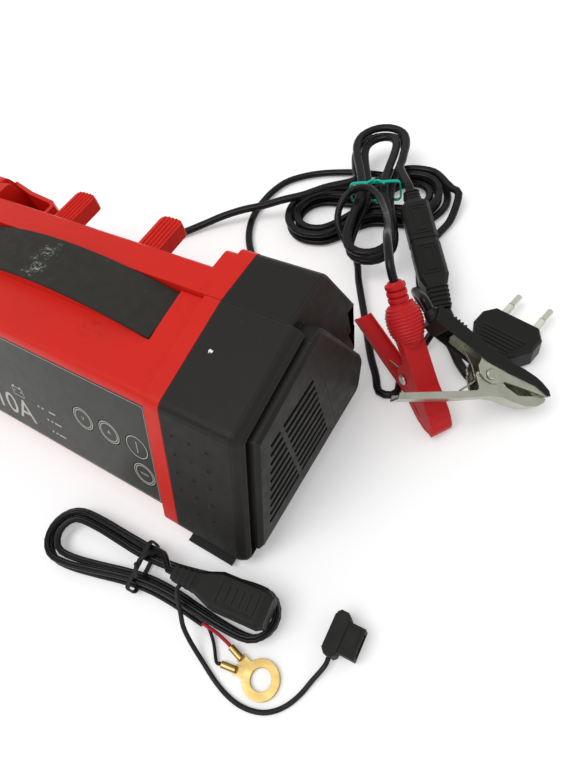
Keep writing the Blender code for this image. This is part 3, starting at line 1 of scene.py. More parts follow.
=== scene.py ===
"""Car battery charger: finishes its case and fittings, lays its leads and lights it.

Lengths are worked out in millimetres and turned into metres where a piece is made.
The origin is on the floor under the middle of the case, X runs along the case, -Y is
the front panel's side, +Z is up.
"""

import math

import bmesh
import bpy
from mathutils import Matrix, Vector


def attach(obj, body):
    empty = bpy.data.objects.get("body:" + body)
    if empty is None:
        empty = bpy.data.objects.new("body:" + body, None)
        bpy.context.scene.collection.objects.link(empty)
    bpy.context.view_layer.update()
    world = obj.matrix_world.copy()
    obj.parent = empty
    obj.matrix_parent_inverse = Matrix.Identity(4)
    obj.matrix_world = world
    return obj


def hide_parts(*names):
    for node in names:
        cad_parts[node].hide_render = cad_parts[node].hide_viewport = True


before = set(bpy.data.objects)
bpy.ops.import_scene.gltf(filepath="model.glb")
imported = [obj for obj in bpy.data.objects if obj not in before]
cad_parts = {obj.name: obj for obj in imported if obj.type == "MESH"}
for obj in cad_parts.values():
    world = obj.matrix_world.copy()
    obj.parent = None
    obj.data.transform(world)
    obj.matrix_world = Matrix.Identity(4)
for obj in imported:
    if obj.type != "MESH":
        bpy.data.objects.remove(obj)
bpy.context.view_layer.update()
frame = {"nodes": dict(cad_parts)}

bl_info = {
    "name": "Car battery charger",
    "version": (1, 0, 0),
    "blender": (4, 5, 0),
    "location": "3D View > Sidebar > Charger",
    "description": "Finishes, leads and light of a car battery charger",
    "category": "Object",
}

NODES = frame["nodes"]
MM = 0.001
GAP = 0.3

# ---------------------------------------------------------------- what a user can change


def colour(name, description, default):
    return bpy.props.FloatVectorProperty(
        name=name, description=description, default=default, size=3, min=0, max=1,
        subtype="COLOR")


def length(name, description, default):
    return bpy.props.FloatProperty(
        name=name, description=description, default=default, min=0.0, unit="LENGTH",
        precision=5)


class ChargerColours(bpy.types.PropertyGroup):
    """Colours of the charger's materials."""
    red_case: colour("Red case", "Painted-through plastic of the case", (0.64, 0.016, 0.008))
    black_case: colour("Black caps", "Moulded plastic of the end caps", (0.016, 0.015, 0.0135))
    rubber: colour("Rubber", "Grip pad, feet and reliefs", (0.018, 0.018, 0.016))
    panel: colour("Panel", "Printed film of the control panel", (0.040, 0.040, 0.036))
    print_ink: colour("Print", "Ink of the rings and marks", (0.50, 0.49, 0.45))
    lead: colour("Leads", "Sheath of the leads", (0.006, 0.006, 0.006))
    clamp_red: colour("Red clamp", "Plastic of the red clamp", (0.54, 0.012, 0.014))
    green_tie: colour("Wire tie", "Sheath of the wire tie", (0.0, 0.42, 0.30))
    nickel: colour("Nickel", "Plating of the black clamp", (0.52, 0.53, 0.44))


class ChargerSizes(bpy.types.PropertyGroup):
    """Sizes of the fine detail."""
    edge_round: length("Edge rounding", "Softness of moulded edges", 0.0006)
    mains_width: length("Mains lead", "Width of the flat mains lead", 0.005)
    output_width: length("Battery lead", "Width of the twin battery lead", 0.0056)
    clamp_lead: length("Clamp leads", "Diameter of each clamp's lead", 0.0044)
    small_lead: length("Accessory lead", "Width of the accessory lead", 0.0034)
    strap: length("Strap", "Diameter of the cap's strap", 0.0022)
    ink: length("Print line", "Width of the printed lines", 0.00045)


class ChargerLight(bpy.types.PropertyGroup):
    """Light and background."""
    sky: bpy.props.FloatProperty(
        name="Sky", description="Strength of the even light", default=0.66, min=0)
    sun: bpy.props.FloatProperty(
        name="Soft lamp", description="Strength of the soft lamp", default=1.15, min=0)
    softness: bpy.props.FloatProperty(
        name="Softness", description="Angle that the soft lamp covers",
        default=math.radians(38), subtype="ANGLE")


# ---------------------------------------------------------------- materials


MIX_A, MIX_B, MIX_RESULT = 6, 7, 2      # the Mix node's colour slots


class Recipe:
    """One material's nodes, with short ways to add and join them."""

    def __init__(self, name):
        self.material = bpy.data.materials.new(name)
        self.material.use_nodes = True
        self.tree = self.material.node_tree
        self.shader = self.tree.nodes["Principled BSDF"]
        self.place = self.add("TexCoord").outputs["Object"]

    def fill(self, node, inputs):
        """Joins outputs to a node's slots, and sets the slots given as numbers or colours."""
        for key, value in inputs.items():
            slot = node.inputs[key]
            if isinstance(value, bpy.types.NodeSocket):
                self.tree.links.new(value, slot)
            else:
                slot.default_value = (*value, 1.0) if slot.type == "RGBA" else value
        return node

    def add(self, kind, inputs=None, **settings):
        node = self.tree.nodes.new("ShaderNode" + kind)
        for key, value in settings.items():
            setattr(node, key, value)
        return self.fill(node, inputs or {})

    def noise(self, scale, detail=2.0, stretch=None):
        source = self.place
        if stretch:
            source = self.add("Mapping", {"Vector": source, "Scale": stretch}).outputs["Vector"]
        return self.add("TexNoise", {"Vector": source, "Scale": scale,
                                     "Detail": detail}).outputs["Fac"]

    def ranged(self, value, low, high, to_low=0.0, to_high=1.0):
        return self.add("MapRange", {"Value": value, "From Min": low, "From Max": high,
                                     "To Min": to_low, "To Max": to_high}).outputs["Result"]

    def clouds(self, scale, detail, *limits):
        """Noise between two of its levels, stretched to 0 and 1 or to two values."""
        return self.ranged(self.noise(scale, detail), *limits)

    def maths(self, operation, *values):
        return self.add("Math", dict(enumerate(values)), operation=operation).outputs["Value"]

    def vectors(self, operation, *values, result="Vector"):
        return self.add("VectorMath", dict(enumerate(values)),
                        operation=operation).outputs[result]

    def mixed(self, share, a, b):
        return self.add("Mix", {0: share, MIX_A: a, MIX_B: b},
                        data_type="RGBA").outputs[MIX_RESULT]

    def softened(self, radius):
        """The surface's normal with its edges rounded."""
        return self.add("Bevel", {"Radius": radius}, samples=4).outputs["Normal"]

    def near(self, spot, radii):
        """1 at a spot of the object, falling to 0 at the radii, all in metres."""
        off = self.vectors("DIVIDE", self.vectors("SUBTRACT", self.place, spot), radii)
        return self.ranged(self.vectors("LENGTH", off, result="Value"), 1.0, 0.0)

    def edge(self, radius):
        """1 along rounded edges, 0 on flats."""
        dot = self.vectors("DOT_PRODUCT", self.softened(radius),
                           self.add("NewGeometry").outputs["Normal"], result="Value")
        return self.ranged(dot, 0.995, 0.90)

    def bump(self, height, strength, distance, bevel=0.0):
        node = self.add("Bump", {"Strength": strength, "Distance": distance, "Height": height})
        if bevel:
            self.fill(node, {"Normal": self.softened(bevel)})
        self.fill(self.shader, {"Normal": node.outputs["Normal"]})

    def finish(self, base, rough):
        self.fill(self.shader, {"Base Color": base, "Roughness": rough})
        return self.material


def picked(name):
    """A colour that the user can change."""
    return tuple(getattr(bpy.context.scene.charger_colours, name))


def tinted(base, factor):
    return tuple(min(1.0, c * factor) for c in base)


def moulded(name, base, rough, grain=1400.0, grip=0.2, mottle=0.08, bevel=None, rub=0.0,
            smudges=0.0, shine=0.18):
    """Moulded plastic: soft edges, fine grain, faint clouds, and rubbed edges if asked."""
    sizes = bpy.context.scene.charger_sizes
    bevel = sizes.edge_round if bevel is None else bevel
    r = Recipe(name)
    tone = r.mixed(r.noise(28.0, 3.0), tinted(base, 1 - mottle), tinted(base, 1 + mottle))
    if smudges:
        dirt = r.clouds(55.0, 5.0, 0.60, 0.78, 0.0, smudges)
        tone = r.mixed(dirt, tone, tinted(base, 0.45))
    if rub:
        tone = r.mixed(r.maths("MULTIPLY", r.edge(bevel * 1.6), rub), tone,
                       tuple(min(1, c * 1.5 + 0.03) for c in base))
    gloss = r.clouds(160.0, 4.0, 0.3, 0.7, rough * 0.86, min(1.0, rough * 1.16))
    r.fill(r.shader, {"Specular IOR Level": shine})
    r.bump(r.noise(grain, 3.0), grip, 0.00012, bevel)
    return r, tone, gloss


def plain_moulded(name, base, rough, **more):
    r, tone, gloss = moulded(name, base, rough, **more)
    return r.finish(tone, gloss)


def red_case():
    base = picked("red_case")
    r, tone, gloss = moulded("red_case", base, 0.36, grain=900.0, grip=0.12, rub=0.25,
                             smudges=0.25)
    # Painted shade: the red darkens in a patch just in front of the grip's front edge, where the
    # grip overhangs it, broken up by noise.
    grip_shade = r.maths("MULTIPLY", r.near((0.0408, -0.0165, 0.086), (0.012, 0.010, 0.010)),
                   r.clouds(420.0, 4.0, 0.5, 0.62))
    tone = r.mixed(r.maths("MULTIPLY", grip_shade, 0.7), tone, tinted(base, 0.55))
    return r.finish(tone, gloss)


def black_case():
    """Caps: fine spark texture, glossy rubbed rims, and one chip of bare white."""
    base = picked("black_case")
    r, tone, gloss = moulded("black_case", base, 0.46, grain=1700.0, grip=0.34, rub=0.6)
    speck = r.maths("GREATER_THAN", r.noise(900.0, 1.0), 0.80)
    tone = r.mixed(r.maths("MULTIPLY", speck, 0.12), tone, (0.3, 0.3, 0.28))
    ragged = r.maths("ADD", r.near((0.1048, -0.0060, 0.0867), (0.0019, 0.0015, 0.0030)),
                     r.clouds(1500.0, 2.0, 0.3, 0.7, -0.3, 0.3))
    chip = r.maths("GREATER_THAN", ragged, 0.42)
    tone = r.mixed(chip, tone, (0.82, 0.82, 0.80))
    return r.finish(tone, gloss)


def grip_rubber():
    """Grip pad: dull, with one patch of pale scuffs and a few stray specks."""
    r, tone, gloss = moulded("grip_rubber", (0.030, 0.029, 0.024), 0.74, grain=1100.0,
                             grip=0.35, mottle=0.12, bevel=0.0003)
    patch = r.near((-0.0045, 0.0010, 0.0944), (0.0085, 0.0150, 0.0100))
    fine = r.clouds(620.0, 6.0, 0.49, 0.66)
    rough = r.clouds(170.0, 3.0, 0.42, 0.62)
    worn = r.maths("MULTIPLY", r.maths("MULTIPLY", fine, rough),
                   r.ranged(patch, 0.0, 0.65))
    tone = r.mixed(r.maths("MINIMUM", r.maths("MULTIPLY", worn, 1.2), 0.85), tone,
                   (0.50, 0.50, 0.46))
    dust = r.clouds(260.0, 6.0, 0.66, 0.80, 0.0, 0.10)
    tone = r.mixed(dust, tone, (0.35, 0.35, 0.32))
    return r.finish(tone, gloss)


def sheath(name, base, rough):
    """Drawn plastic of a lead: smooth and glossy, with faint handling marks."""
    r = Recipe(name)
    tone = r.mixed(r.noise(90.0, 3.0), tinted(base, 0.8), tinted(base, 1.35))
    gloss = r.clouds(210.0, 4.0, 0.35, 0.7, rough * 0.8, rough * 1.5)
    r.fill(r.shader, {"Specular IOR Level": 0.22})
    r.bump(r.noise(330.0, 2.0), 0.10, 0.0002)
    return r.finish(tone, gloss)


def metal(name, base, rough, marks, bevel=0.0003):
    """Plated or plain metal: rolled streaks, dull patches, soft edges."""
    r = Recipe(name)
    streak = r.noise(240.0, 5.0, stretch=(0.35, 1.0, 2.2))
    patch = r.clouds(95.0, 5.0, 0.42, 0.70)
    tone = r.mixed(r.maths("MULTIPLY", patch, marks), base, tinted(base, 0.45))
    gloss = r.ranged(streak, 0.3, 0.7, rough * 0.75, rough * 1.5)
    r.fill(r.shader, {"Metallic": 1.0})
    r.bump(streak, 0.12, 0.0001, bevel)
    return r.finish(tone, gloss)


def board():
    """Circuit board: green lacquer over paler copper runs."""
    r = Recipe("circuit_board")
    cells = r.add("TexBrick", {"Vector": r.place, "Scale": 160.0, "Mortar Size": 0.03})
    tone = r.mixed(cells.outputs["Fac"], (0.018, 0.12, 0.045), (0.05, 0.26, 0.09))
    gloss = r.clouds(300.0, 2.0, 0.3, 0.7, 0.3, 0.5)
    r.bump(cells.outputs["Fac"], 0.3, 0.0001)
    return r.finish(tone, gloss)


def winding():
    """Lacquered copper wire wound in fine turns."""
    r = Recipe("winding")
    wave = r.add("TexWave", {"Vector": r.place, "Scale": 320.0}, bands_direction="Z")
    tone = r.mixed(wave.outputs["Fac"], (0.22, 0.07, 0.015), (0.62, 0.26, 0.08))
    r.fill(r.shader, {"Metallic": 0.8})
    r.bump(wave.outputs["Fac"], 0.6, 0.0003)
    return r.finish(tone, r.clouds(200.0, 2.0, 0.3, 0.7, 0.28, 0.42))


def ink():
    r = Recipe("panel_ink")
    base = picked("print_ink")
    tone = r.mixed(r.noise(1500.0, 3.0), tinted(base, 0.75), tinted(base, 1.15))
    return r.finish(tone, r.clouds(700.0, 2.0, 0.3, 0.7, 0.38, 0.55))


MADE = {}
OWN_RECIPES = {"red_case": red_case, "black_case": black_case, "grip_rubber": grip_rubber,
               "circuit_board": board, "winding": winding, "panel_ink": ink}


def shared_recipes():
    """Each finish that a shared recipe makes: recipe, colour, roughness and settings."""
    c = bpy.context.scene.charger_colours
    film = dict(grain=700.0, grip=0.06, bevel=0.0002)
    return {
        "soft_rubber": (plain_moulded, c.rubber, 0.62, dict(grain=1300.0, grip=0.3)),
        "panel_film": (plain_moulded, c.panel, 0.34, dict(film, mottle=0.22, smudges=0.2)),
        "button_film": (plain_moulded, tinted(c.panel, 0.95), 0.34, film),
        "can": (plain_moulded, (0.045, 0.06, 0.15), 0.34, dict(grip=0.05)),
        "black_plastic": (plain_moulded, (0.011, 0.011, 0.010), 0.42,
                          dict(grain=1500.0, grip=0.2, rub=0.35)),
        "pin_sleeve": (plain_moulded, (0.72, 0.73, 0.60), 0.42, dict(grip=0.05, bevel=0.0003)),
        "clamp_red": (plain_moulded, c.clamp_red, 0.38,
                      dict(grain=800.0, grip=0.12, bevel=0.0007, rub=0.3, smudges=0.15)),
        # Painted shade: near-black that stands in for the shade inside the cap's dimples.
        "hole_dark": (plain_moulded, (0.004, 0.004, 0.004), 0.6, dict(grip=0.1, bevel=0.0)),
        "lead_sheath": (sheath, c.lead, 0.27, {}),
        "strap_rubber": (sheath, (0.016, 0.016, 0.016), 0.5, {}),
        "wire_red": (sheath, (0.42, 0.010, 0.028), 0.36, {}),
        "wire_black": (sheath, c.lead, 0.36, {}),
        "green_tie": (sheath, c.green_tie, 0.42, {}),
        "core_steel": (metal, (0.36, 0.36, 0.35), 0.42, dict(marks=0.5)),
        "sink": (metal, (0.52, 0.52, 0.52), 0.40, dict(marks=0.2)),
        "pin_metal": (metal, (0.78, 0.76, 0.68), 0.16, dict(marks=0.15)),
        "clamp_nickel": (metal, c.nickel, 0.30, dict(marks=0.35, bevel=0.0005)),
        "spring_steel": (metal, (0.42, 0.41, 0.38), 0.30, dict(marks=0.4)),
        "brass": (metal, (0.50, 0.35, 0.13), 0.30, dict(marks=0.35)),
    }


def finish_for(name):
    """Makes each finish once, and hands it out by name."""
    if name not in MADE:
        if name in OWN_RECIPES:
            MADE[name] = OWN_RECIPES[name]()
        else:
            recipe, base, rough, settings = shared_recipes()[name]
            MADE[name] = recipe(name, tuple(base), rough, **settings)
    return MADE[name]


def dress(finish, *names):
    """Gives CAD nodes their finish."""
    for name in names:
        obj = NODES[name]
        for slot in obj.material_slots:
            slot.material = finish_for(finish)
        if not obj.material_slots:
            raise RuntimeError(name + " has no material slot")


# ---------------------------------------------------------------- shapes


def piece(name, bm, finish, body="charger", angle=38):
    """A mesh drawn in millimetres, riding on a body; its one slot holds its finish."""
    bmesh.ops.scale(bm, vec=(MM, MM, MM), verts=bm.verts)
    bmesh.ops.recalc_face_normals(bm, faces=bm.faces)
    data = bpy.data.meshes.new(name)
    bm.to_mesh(data)
    bm.free()
    data.materials.append(finish_for(finish))
    data.shade_smooth()
    data.set_sharp_from_angle(angle=math.radians(angle))
    obj = bpy.data.objects.new(name, data)
    bpy.context.scene.collection.objects.link(obj)
    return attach(obj, body)


def loft(bm, rings, matrix=Matrix(), ends=True):
    """Faces between rings of as many points. Without ends, the last ring meets the first."""
    rows = [[bm.verts.new(matrix @ Vector(p)) for p in ring] for ring in rings]
    pairs = list(zip(rows, rows[1:])) + ([] if ends else [(rows[-1], rows[0])])
    for a, b in pairs:
        for i in range(len(a)):
            j = (i + 1) % len(a)
            bm.faces.new((a[i], a[j], b[j], b[i]))
    if ends:
        bm.faces.new(rows[0])
        bm.faces.new(rows[-1])
    return bm


def circle(radius, sides):
    turns = [2 * math.pi * i / sides for i in range(sides)]
    return [(radius * math.cos(t), radius * math.sin(t)) for t in turns]


def turned(bm, profile, sides, matrix):
    """Solid of revolution about Z from (radius, height) pairs."""
    return loft(bm, [[(x, y, z) for x, y in circle(r, sides)] for r, z in profile], matrix)


def prism(bm, outline, low, high, matrix):
    return loft(bm, [[(x, y, z) for x, y in outline] for z in (low, high)], matrix)


def band(bm, outer, inner, low, high, matrix):
    """A flat ring between two outlines of as many points."""
    corners = ((outer, low), (outer, high), (inner, high), (inner, low))
    return loft(bm, [[(x, y, z) for x, y in line] for line, z in corners], matrix, ends=False)


def swept(bm, points, profile, up=Vector((0, 0, 1))):
    """A profile of (across, up) pairs carried along a line."""
    rings = []
    last = len(points) - 1
    for i, p in enumerate(points):
        way = (Vector(points[min(i + 1, last)]) - Vector(points[max(i - 1, 0)])).normalized()
        side = way.cross(up)
        side = side.normalized() if side.length > 1e-4 else Vector((1, 0, 0))
        top = side.cross(way)
        rings.append([Vector(p) + side * x + top * y for x, y in profile])
    return loft(bm, rings)


def moved(place, x, y, z=0.0):
    return place @ Matrix.Translation((x, y, z))


def both_faces(low, high):
    """Heights of a relief on a flat piece's top, and those below its underside."""
    return (low, high), (-high, -low)


def along(start, end):
    way = Vector(end) - Vector(start)
    made = way.to_track_quat("Z", "Y").to_matrix().to_4x4()
    made.translation = Vector(start)
    return made


def rounded_box(width, height, radius, steps=4):
    line = []
    for cx, cy, turn in ((1, 1, 0), (-1, 1, 90), (-1, -1, 180), (1, -1, 270)):
        for i in range(steps + 1):
            t = math.radians(turn + 90 * i / steps)
            line.append((cx * (width / 2 - radius) + radius * math.cos(t),
                         cy * (height / 2 - radius) + radius * math.sin(t)))
    return line


# ---------------------------------------------------------------- the case's front face

FRONT_BOTTOM_Y, FRONT_TOP_Y = -66.5, -36.3
BASE_Z, CASE_H, FRONT_TOP_DROP = 4.5, 86.2, 9.1
PANEL_INSET = 1.3       # film's face behind the case's front face
LEAN = math.atan2(FRONT_TOP_Y - FRONT_BOTTOM_Y, CASE_H - FRONT_TOP_DROP)


def front_frame(x, up, inset=PANEL_INSET):
    """On the front face: X to the right, Y up the face, Z outwards."""
    made = Matrix.Rotation(math.pi / 2 - LEAN, 4, "X")
    face = Vector((0, math.sin(LEAN), math.cos(LEAN)))
    inward = Vector((0, math.cos(LEAN), -math.sin(LEAN)))
    made.translation = Vector((x, FRONT_BOTTOM_Y, BASE_Z)) + face * up + inward * inset
    return made


# ---------------------------------------------------------------- lines of the leads

MAINS_D, OUTPUT_D, LEAD_D, SMALL_D, WIRE_D, STRAP_D, TIE_D = 5.0, 5.6, 4.4, 3.4, 1.6, 2.2, 1.6
MAINS_X, OUTPUT_X, GLAND_Z, GLAND_FACE_Y = 58.0, -66.0, 24.0, 53.6
CONNECTOR_TOP, CONNECTOR_LOW = Vector((110.0, 178.0, 24.0)), Vector((161.0, 107.0, 12.0))
CONNECTOR_T, RELIEF_R, CLAMP_PARTING = 12.0, 4.6, 2.8
PLUG_FACE, PLUG_AIM = Vector((200.1, 115.0, 7.6)), math.atan2(0.976, 0.217)
PLUG_T, PLUG_LENGTH, PLUG_RELIEF = 13.7, 29.0, 8.0
RED_CLAMP = dict(pivot=(167.1, 55.9, 20.5), tip=(189.0, 39.7, 3.7), side=(-0.507, -0.848, 0.155))
BLACK_CLAMP = dict(pivot=(199.73, 65.79, 25.14), tip=(225.86, 74.06, 9.47),
                   side=(0.4401, -0.1465, 0.8859))
RED_BOOT = Vector((-33.0, 19.4, 0)), Vector((-44.5, 24.6, 0))      # from, to, in the clamp's frame
BLACK_BOOT = Vector((-32.0, 18.0, 0)), Vector((-36.0, 21.6, 0))
RINGS_AT = 168.0, -102.0
MAINS_HANK = dict(centre=(76.0, 178.0, 0.0), heading=math.radians(36), run=30.0, bend=13.5,
                  waist=4.0, pitch=MAINS_D + 1.1, layers=2, turns=4.05, start=0.20, hand=-1,
                  floor=MAINS_D / 2 + 0.2, lift=MAINS_D + 0.9)
OUTPUT_HANK = dict(centre=(85.0, 178.5, 0.0), heading=math.radians(-68), run=46.0, bend=10.3,
                   waist=3.8, pitch=OUTPUT_D + 1.0, layers=2, turns=2.3, start=0.60, hand=-1,
                   floor=2 * MAINS_D + 6.5, lift=OUTPUT_D + 1.0)
RING_HANK = dict(centre=(99.5, -88.5, 0.0), heading=math.radians(8.4), run=53.0, bend=8.5,
                 waist=2.6, pitch=SMALL_D + 1.1, layers=2, turns=2.55, start=0.42, hand=-1,
                 floor=SMALL_D / 2 + 2.4, lift=SMALL_D + 0.8)


def smooth_line(points, count):
    """Points at even steps along a smooth curve through the route's own points."""
    p = [Vector(q) for q in points]
    p = [p[0] * 2 - p[1]] + p + [p[-1] * 2 - p[-2]]
    fine = []
    for a, b, c, d in zip(p, p[1:], p[2:], p[3:]):
        for i in range(24):
            t = i / 24
            fine.append(0.5 * ((2 * b) + (c - a) * t + (2 * a - 5 * b + 4 * c - d) * t * t
                               + (3 * b - a - 3 * c + d) * t ** 3))
    fine.append(p[-2])
    lengths = [0.0]
    for a, b in zip(fine, fine[1:]):
        lengths.append(lengths[-1] + (b - a).length)
    out, j = [], 0
    for i in range(count):
        want = lengths[-1] * i / (count - 1)
        while j < len(fine) - 2 and lengths[j + 1] < want:
            j += 1
        share = (want - lengths[j]) / max(lengths[j + 1] - lengths[j], 1e-9)
        out.append(fine[j].lerp(fine[j + 1], min(share, 1.0)))
    return out


def length_of(points):
    return sum((Vector(b) - Vector(a)).length for a, b in zip(points, points[1:]))


def smooth_step(t):
    t = min(max(t, 0.0), 1.0)
    return t * t * (3 - 2 * t)


def hank_outline(share, run, radius, narrow):
    """(along, across) at a share of a turn."""
    def side(t):
        return run * (2 * t - 1), narrow + (radius - narrow) * smooth_step(abs(2 * t - 1))
    if share < 0.15:
        return side(0.5 + share / 0.3)
    if share < 0.35:
        turn = math.pi * (share - 0.15) / 0.2
        return run + radius * math.sin(turn), radius * math.cos(turn)
    if share < 0.65:
        x, y = side((share - 0.35) / 0.3)
        return -x, -y
    if share < 0.85:
        turn = math.pi * (share - 0.65) / 0.2
        return -run - radius * math.sin(turn), -radius * math.cos(turn)
    return side((share - 0.85) / 0.3)


def hank(centre, heading, run, bend, waist, pitch, layers, turns, start, floor, lift, hand=1):
    """Centreline of a hank: loops drawn in at the waist, spiralling in and out again."""
    ahead = Vector((math.cos(heading), math.sin(heading), 0))
    across = Vector((ahead.y, -ahead.x, 0)) * hand
    per_layer = turns / layers
    points = []
    steps = int(round(24 * turns))
    for i in range(steps + 1):
        done = turns * i / steps
        layer = min(int(done / per_layer), layers - 1)
        inside = done - layer * per_layer
        rings = inside if layer % 2 else per_layer - inside
        if layer == 0:
            climb = smooth_step((inside - per_layer + 0.25) / 0.5)
        else:
            climb = layer - smooth_step((0.25 - inside) / 0.5)
        x, y = hank_outline((start + done) % 1.0, run, bend + pitch * rings,
                            waist + pitch * 1.08 * rings)
        up = Vector((0, 0, floor + lift * climb))
        points.append(Vector(centre) + ahead * x + across * y + up)
    return points


def toward(points, at_start, distance):
    a, b = (points[0], points[1]) if at_start else (points[-1], points[-2])
    return Vector(a) + (Vector(a) - Vector(b)).normalized() * distance


def ended(points, diameter):
    return [toward(points, True, diameter)] + points + [toward(points, False, diameter)]


def free_line(route, diameter):
    """A smooth line through a route whose first and last steps stay straight."""
    line = smooth_line(route, max(6, int(length_of(route) / (2.6 * diameter)) + 1))
    first, last = (Vector(route[0]), Vector(route[1])), (Vector(route[-2]), Vector(route[-1]))
    step = 1.6 * diameter
    kept = [p for p in line if min((p - q).length for q in (*first, *last)) > step]
    for p in kept:
        p.z = max(p.z, diameter / 2 + 0.2)
    return [*first, *kept, *last]


def wound_line(values, diameter, onto, off):
    """A cord's route onto its hank, the hank, and its route off again."""
    coil = ended(hank(**values), diameter)
    near = GAP + 1.5 * diameter
    first = free_line([*onto, toward(coil, True, near), coil[0]], diameter)
    last = free_line([coil[-1], toward(coil, False, near), *off], diameter)
    return first[:-1] + coil + last[1:]


def frame_from(pivot, tip, side):
    x = (Vector(tip) - Vector(pivot)).normalized()
    z = Vector(side)
    z = (z - x * z.dot(x)).normalized()
    made = Matrix((x, z.cross(x), z)).transposed().to_4x4()
    made.translation = Vector(pivot)
    return made


def turned_to(heading, at):
    """A level frame at a point, its X axis at a heading."""
    made = Matrix.Rotation(heading, 4, "Z")
    made.translation = at
    return made


def level_side(way):
    return Vector((way.y, -way.x, 0)).normalized()


def plug_way():
    return Vector((math.cos(PLUG_AIM), math.sin(PLUG_AIM), 0))


def connector_way():
    return (CONNECTOR_LOW - CONNECTOR_TOP).normalized()


def clamp_starts():
    way = connector_way()
    side = level_side(way) * CLAMP_PARTING
    start = CONNECTOR_LOW + way * GAP
    return sorted((start - side, start + side), key=lambda p: p.x)


def twin(width, height):
    """Two cores side by side, with a groove between them."""
    h = height / 2
    c = width / 2 - h
    right = [(c + h * math.cos(math.radians(a)), h * math.sin(math.radians(a)))
             for a in range(-75, 76, 15)]
    left = [(-x, -y) for x, y in right]
    dip = h * 0.66
    return right + [(0.0, dip)] + left + [(0.0, -dip)]


def lay_cord(name, points, profile, finish, nodes):
    fine = smooth_line(points, max(60, len(points) * 3))
    obj = piece(name, swept(bmesh.new(), fine, profile), finish, angle=60)
    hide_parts(*nodes)


def mains_line():
    low, x = MAINS_D / 2 + 0.2, MAINS_X
    onto = [(x, GLAND_FACE_Y, GLAND_Z), (x, GLAND_FACE_Y + 7, GLAND_Z), (56, 75, 15.5),
            (49, 89, 5), (36, 101, low), (19, 117, low), (7, 134, low), (1, 156, low),
            (5, 184, low), (24, 201, low), (52, 211, low), (80, 216, low)]
    end = PLUG_FACE - plug_way() * (PLUG_LENGTH + PLUG_RELIEF + GAP)
    off = [(134, 186, low + 1), (131, 168, low), (130, 150, low), (139, 127, low),
           (152, 110, low), (165, 98, low), (176, 90, low), (182.5, 81, low), (184.5, 73, 3.6),
           (188.5, 69.4, 5.4), end - plug_way() * 5, end]
    return wound_line(MAINS_HANK, MAINS_D, onto, off)


def output_line():
    low, x = OUTPUT_D / 2 + 0.2, OUTPUT_X
    onto = [(x, GLAND_FACE_Y, GLAND_Z), (x, GLAND_FACE_Y + 8, GLAND_Z), (-63.5, 76, 15),
            (-57, 92, 4), (-44, 108, low), (-27, 126, 4.6), (-8, 140, 9.2),
            (6, 148, 10.2), (18, 153.5, 13.4), (30, 160, 15.4), (42, 169, 15.6), (51, 179, 16)]
    end = CONNECTOR_TOP - connector_way() * GAP
    off = [(101.6, 193.6, 26.0), end - connector_way() * OUTPUT_D * 1.2, end]
    return wound_line(OUTPUT_HANK, OUTPUT_D, onto, off)


def clamp_line(which):
    way = connector_way()
    begin = clamp_starts()[0 if which == "red" else 1]
    low = LEAD_D / 2 + 0.2
    if which == "red":
        place, (a, b), far = frame_from(**RED_CLAMP), RED_BOOT, 1.6
        middle = [begin + way * LEAD_D * 1.3, (160.5, 92, 5), (157, 78, low), (156, 65, low),
                  (159, 55, low), (155.5, 47.6, low), (149, 50, low), (143.5, 58, low),
                  (137.0, 66, low), (128, 79, 3.6), (116, 97, 5.6), (105, 113, 7.4),
                  (96, 128, 8), (87.5, 136.5, 9), (80, 140.5, 11.2), (74.5, 144.5, 16),
                  (71, 156, 22.5), (77, 165.5, 29.8), (90, 165, 33), (103, 153, 35),
                  (116, 134, 42), (128, 112, 58), (137, 94, 71)]
    else:
        place, (a, b), far = frame_from(**BLACK_CLAMP), BLACK_BOOT, 1.4
        middle = [begin + way * LEAD_D * 1.2, (168, 95, 15), (161, 94, 22), (156, 93, 30),
                  (153, 91, 39), (154, 88.5, 47), (157.5, 84.5, 51.5)]
    out = (b - a).normalized()
    end, before = place @ (b + out * GAP), place @ (b + out * (GAP + far * LEAD_D))
    return free_line([begin, *middle, before, end], LEAD_D)


def accessory_ends():
    z = RING_HANK["floor"] + RING_HANK["lift"] + SMALL_D / 2 + 0.5
    return Vector((112.0, -84.6, z + 4.6)), Vector((162.0, -78.0, z + 5.2))


def accessory_line():
    start, end = accessory_ends()
    way = (end - start).normalized()
    face = start - way * GAP
    coil = ended(hank(**RING_HANK), SMALL_D)
    onward = [(97.5, -79.9, 9.8), (103, -81.6, 13.4), face - way * SMALL_D, face]
    return coil[:-2] + free_line([coil[-2], coil[-1], *onward], SMALL_D), coil


CAP_MIDDLE, CAP_AIM = Vector((192.7, -70.0, 5.4)), math.radians(93.5)


def cap_frame():
    return turned_to(CAP_AIM, CAP_MIDDLE)


def strap_line():
    start, end = accessory_ends()
    way = (end - start).normalized()
    side = level_side(way)
    begin = start + way * 5 + side * (3.95 + GAP)
    last = cap_frame() @ Vector((-9.6 - GAP, 3.6, -1.4))
    back = cap_frame().to_3x3() @ Vector((-1, 0, 0))
    z = STRAP_D / 2 + 0.2
    return free_line([begin, begin + side * 2.6, (122, -95.5, 12.8), (128, -101.5, 11.2),
                      (133.5, -105.5, 6.0), (139.5, -108.5, 2.2), (147, -111.5, z),
                      (157, -114.3, z), (167, -114.6, z), (176, -111.5, z), (182.5, -105, z),
                      (186.4, -96, z), (188.2, -88, 2.6), last + back * 3.4, last], STRAP_D)


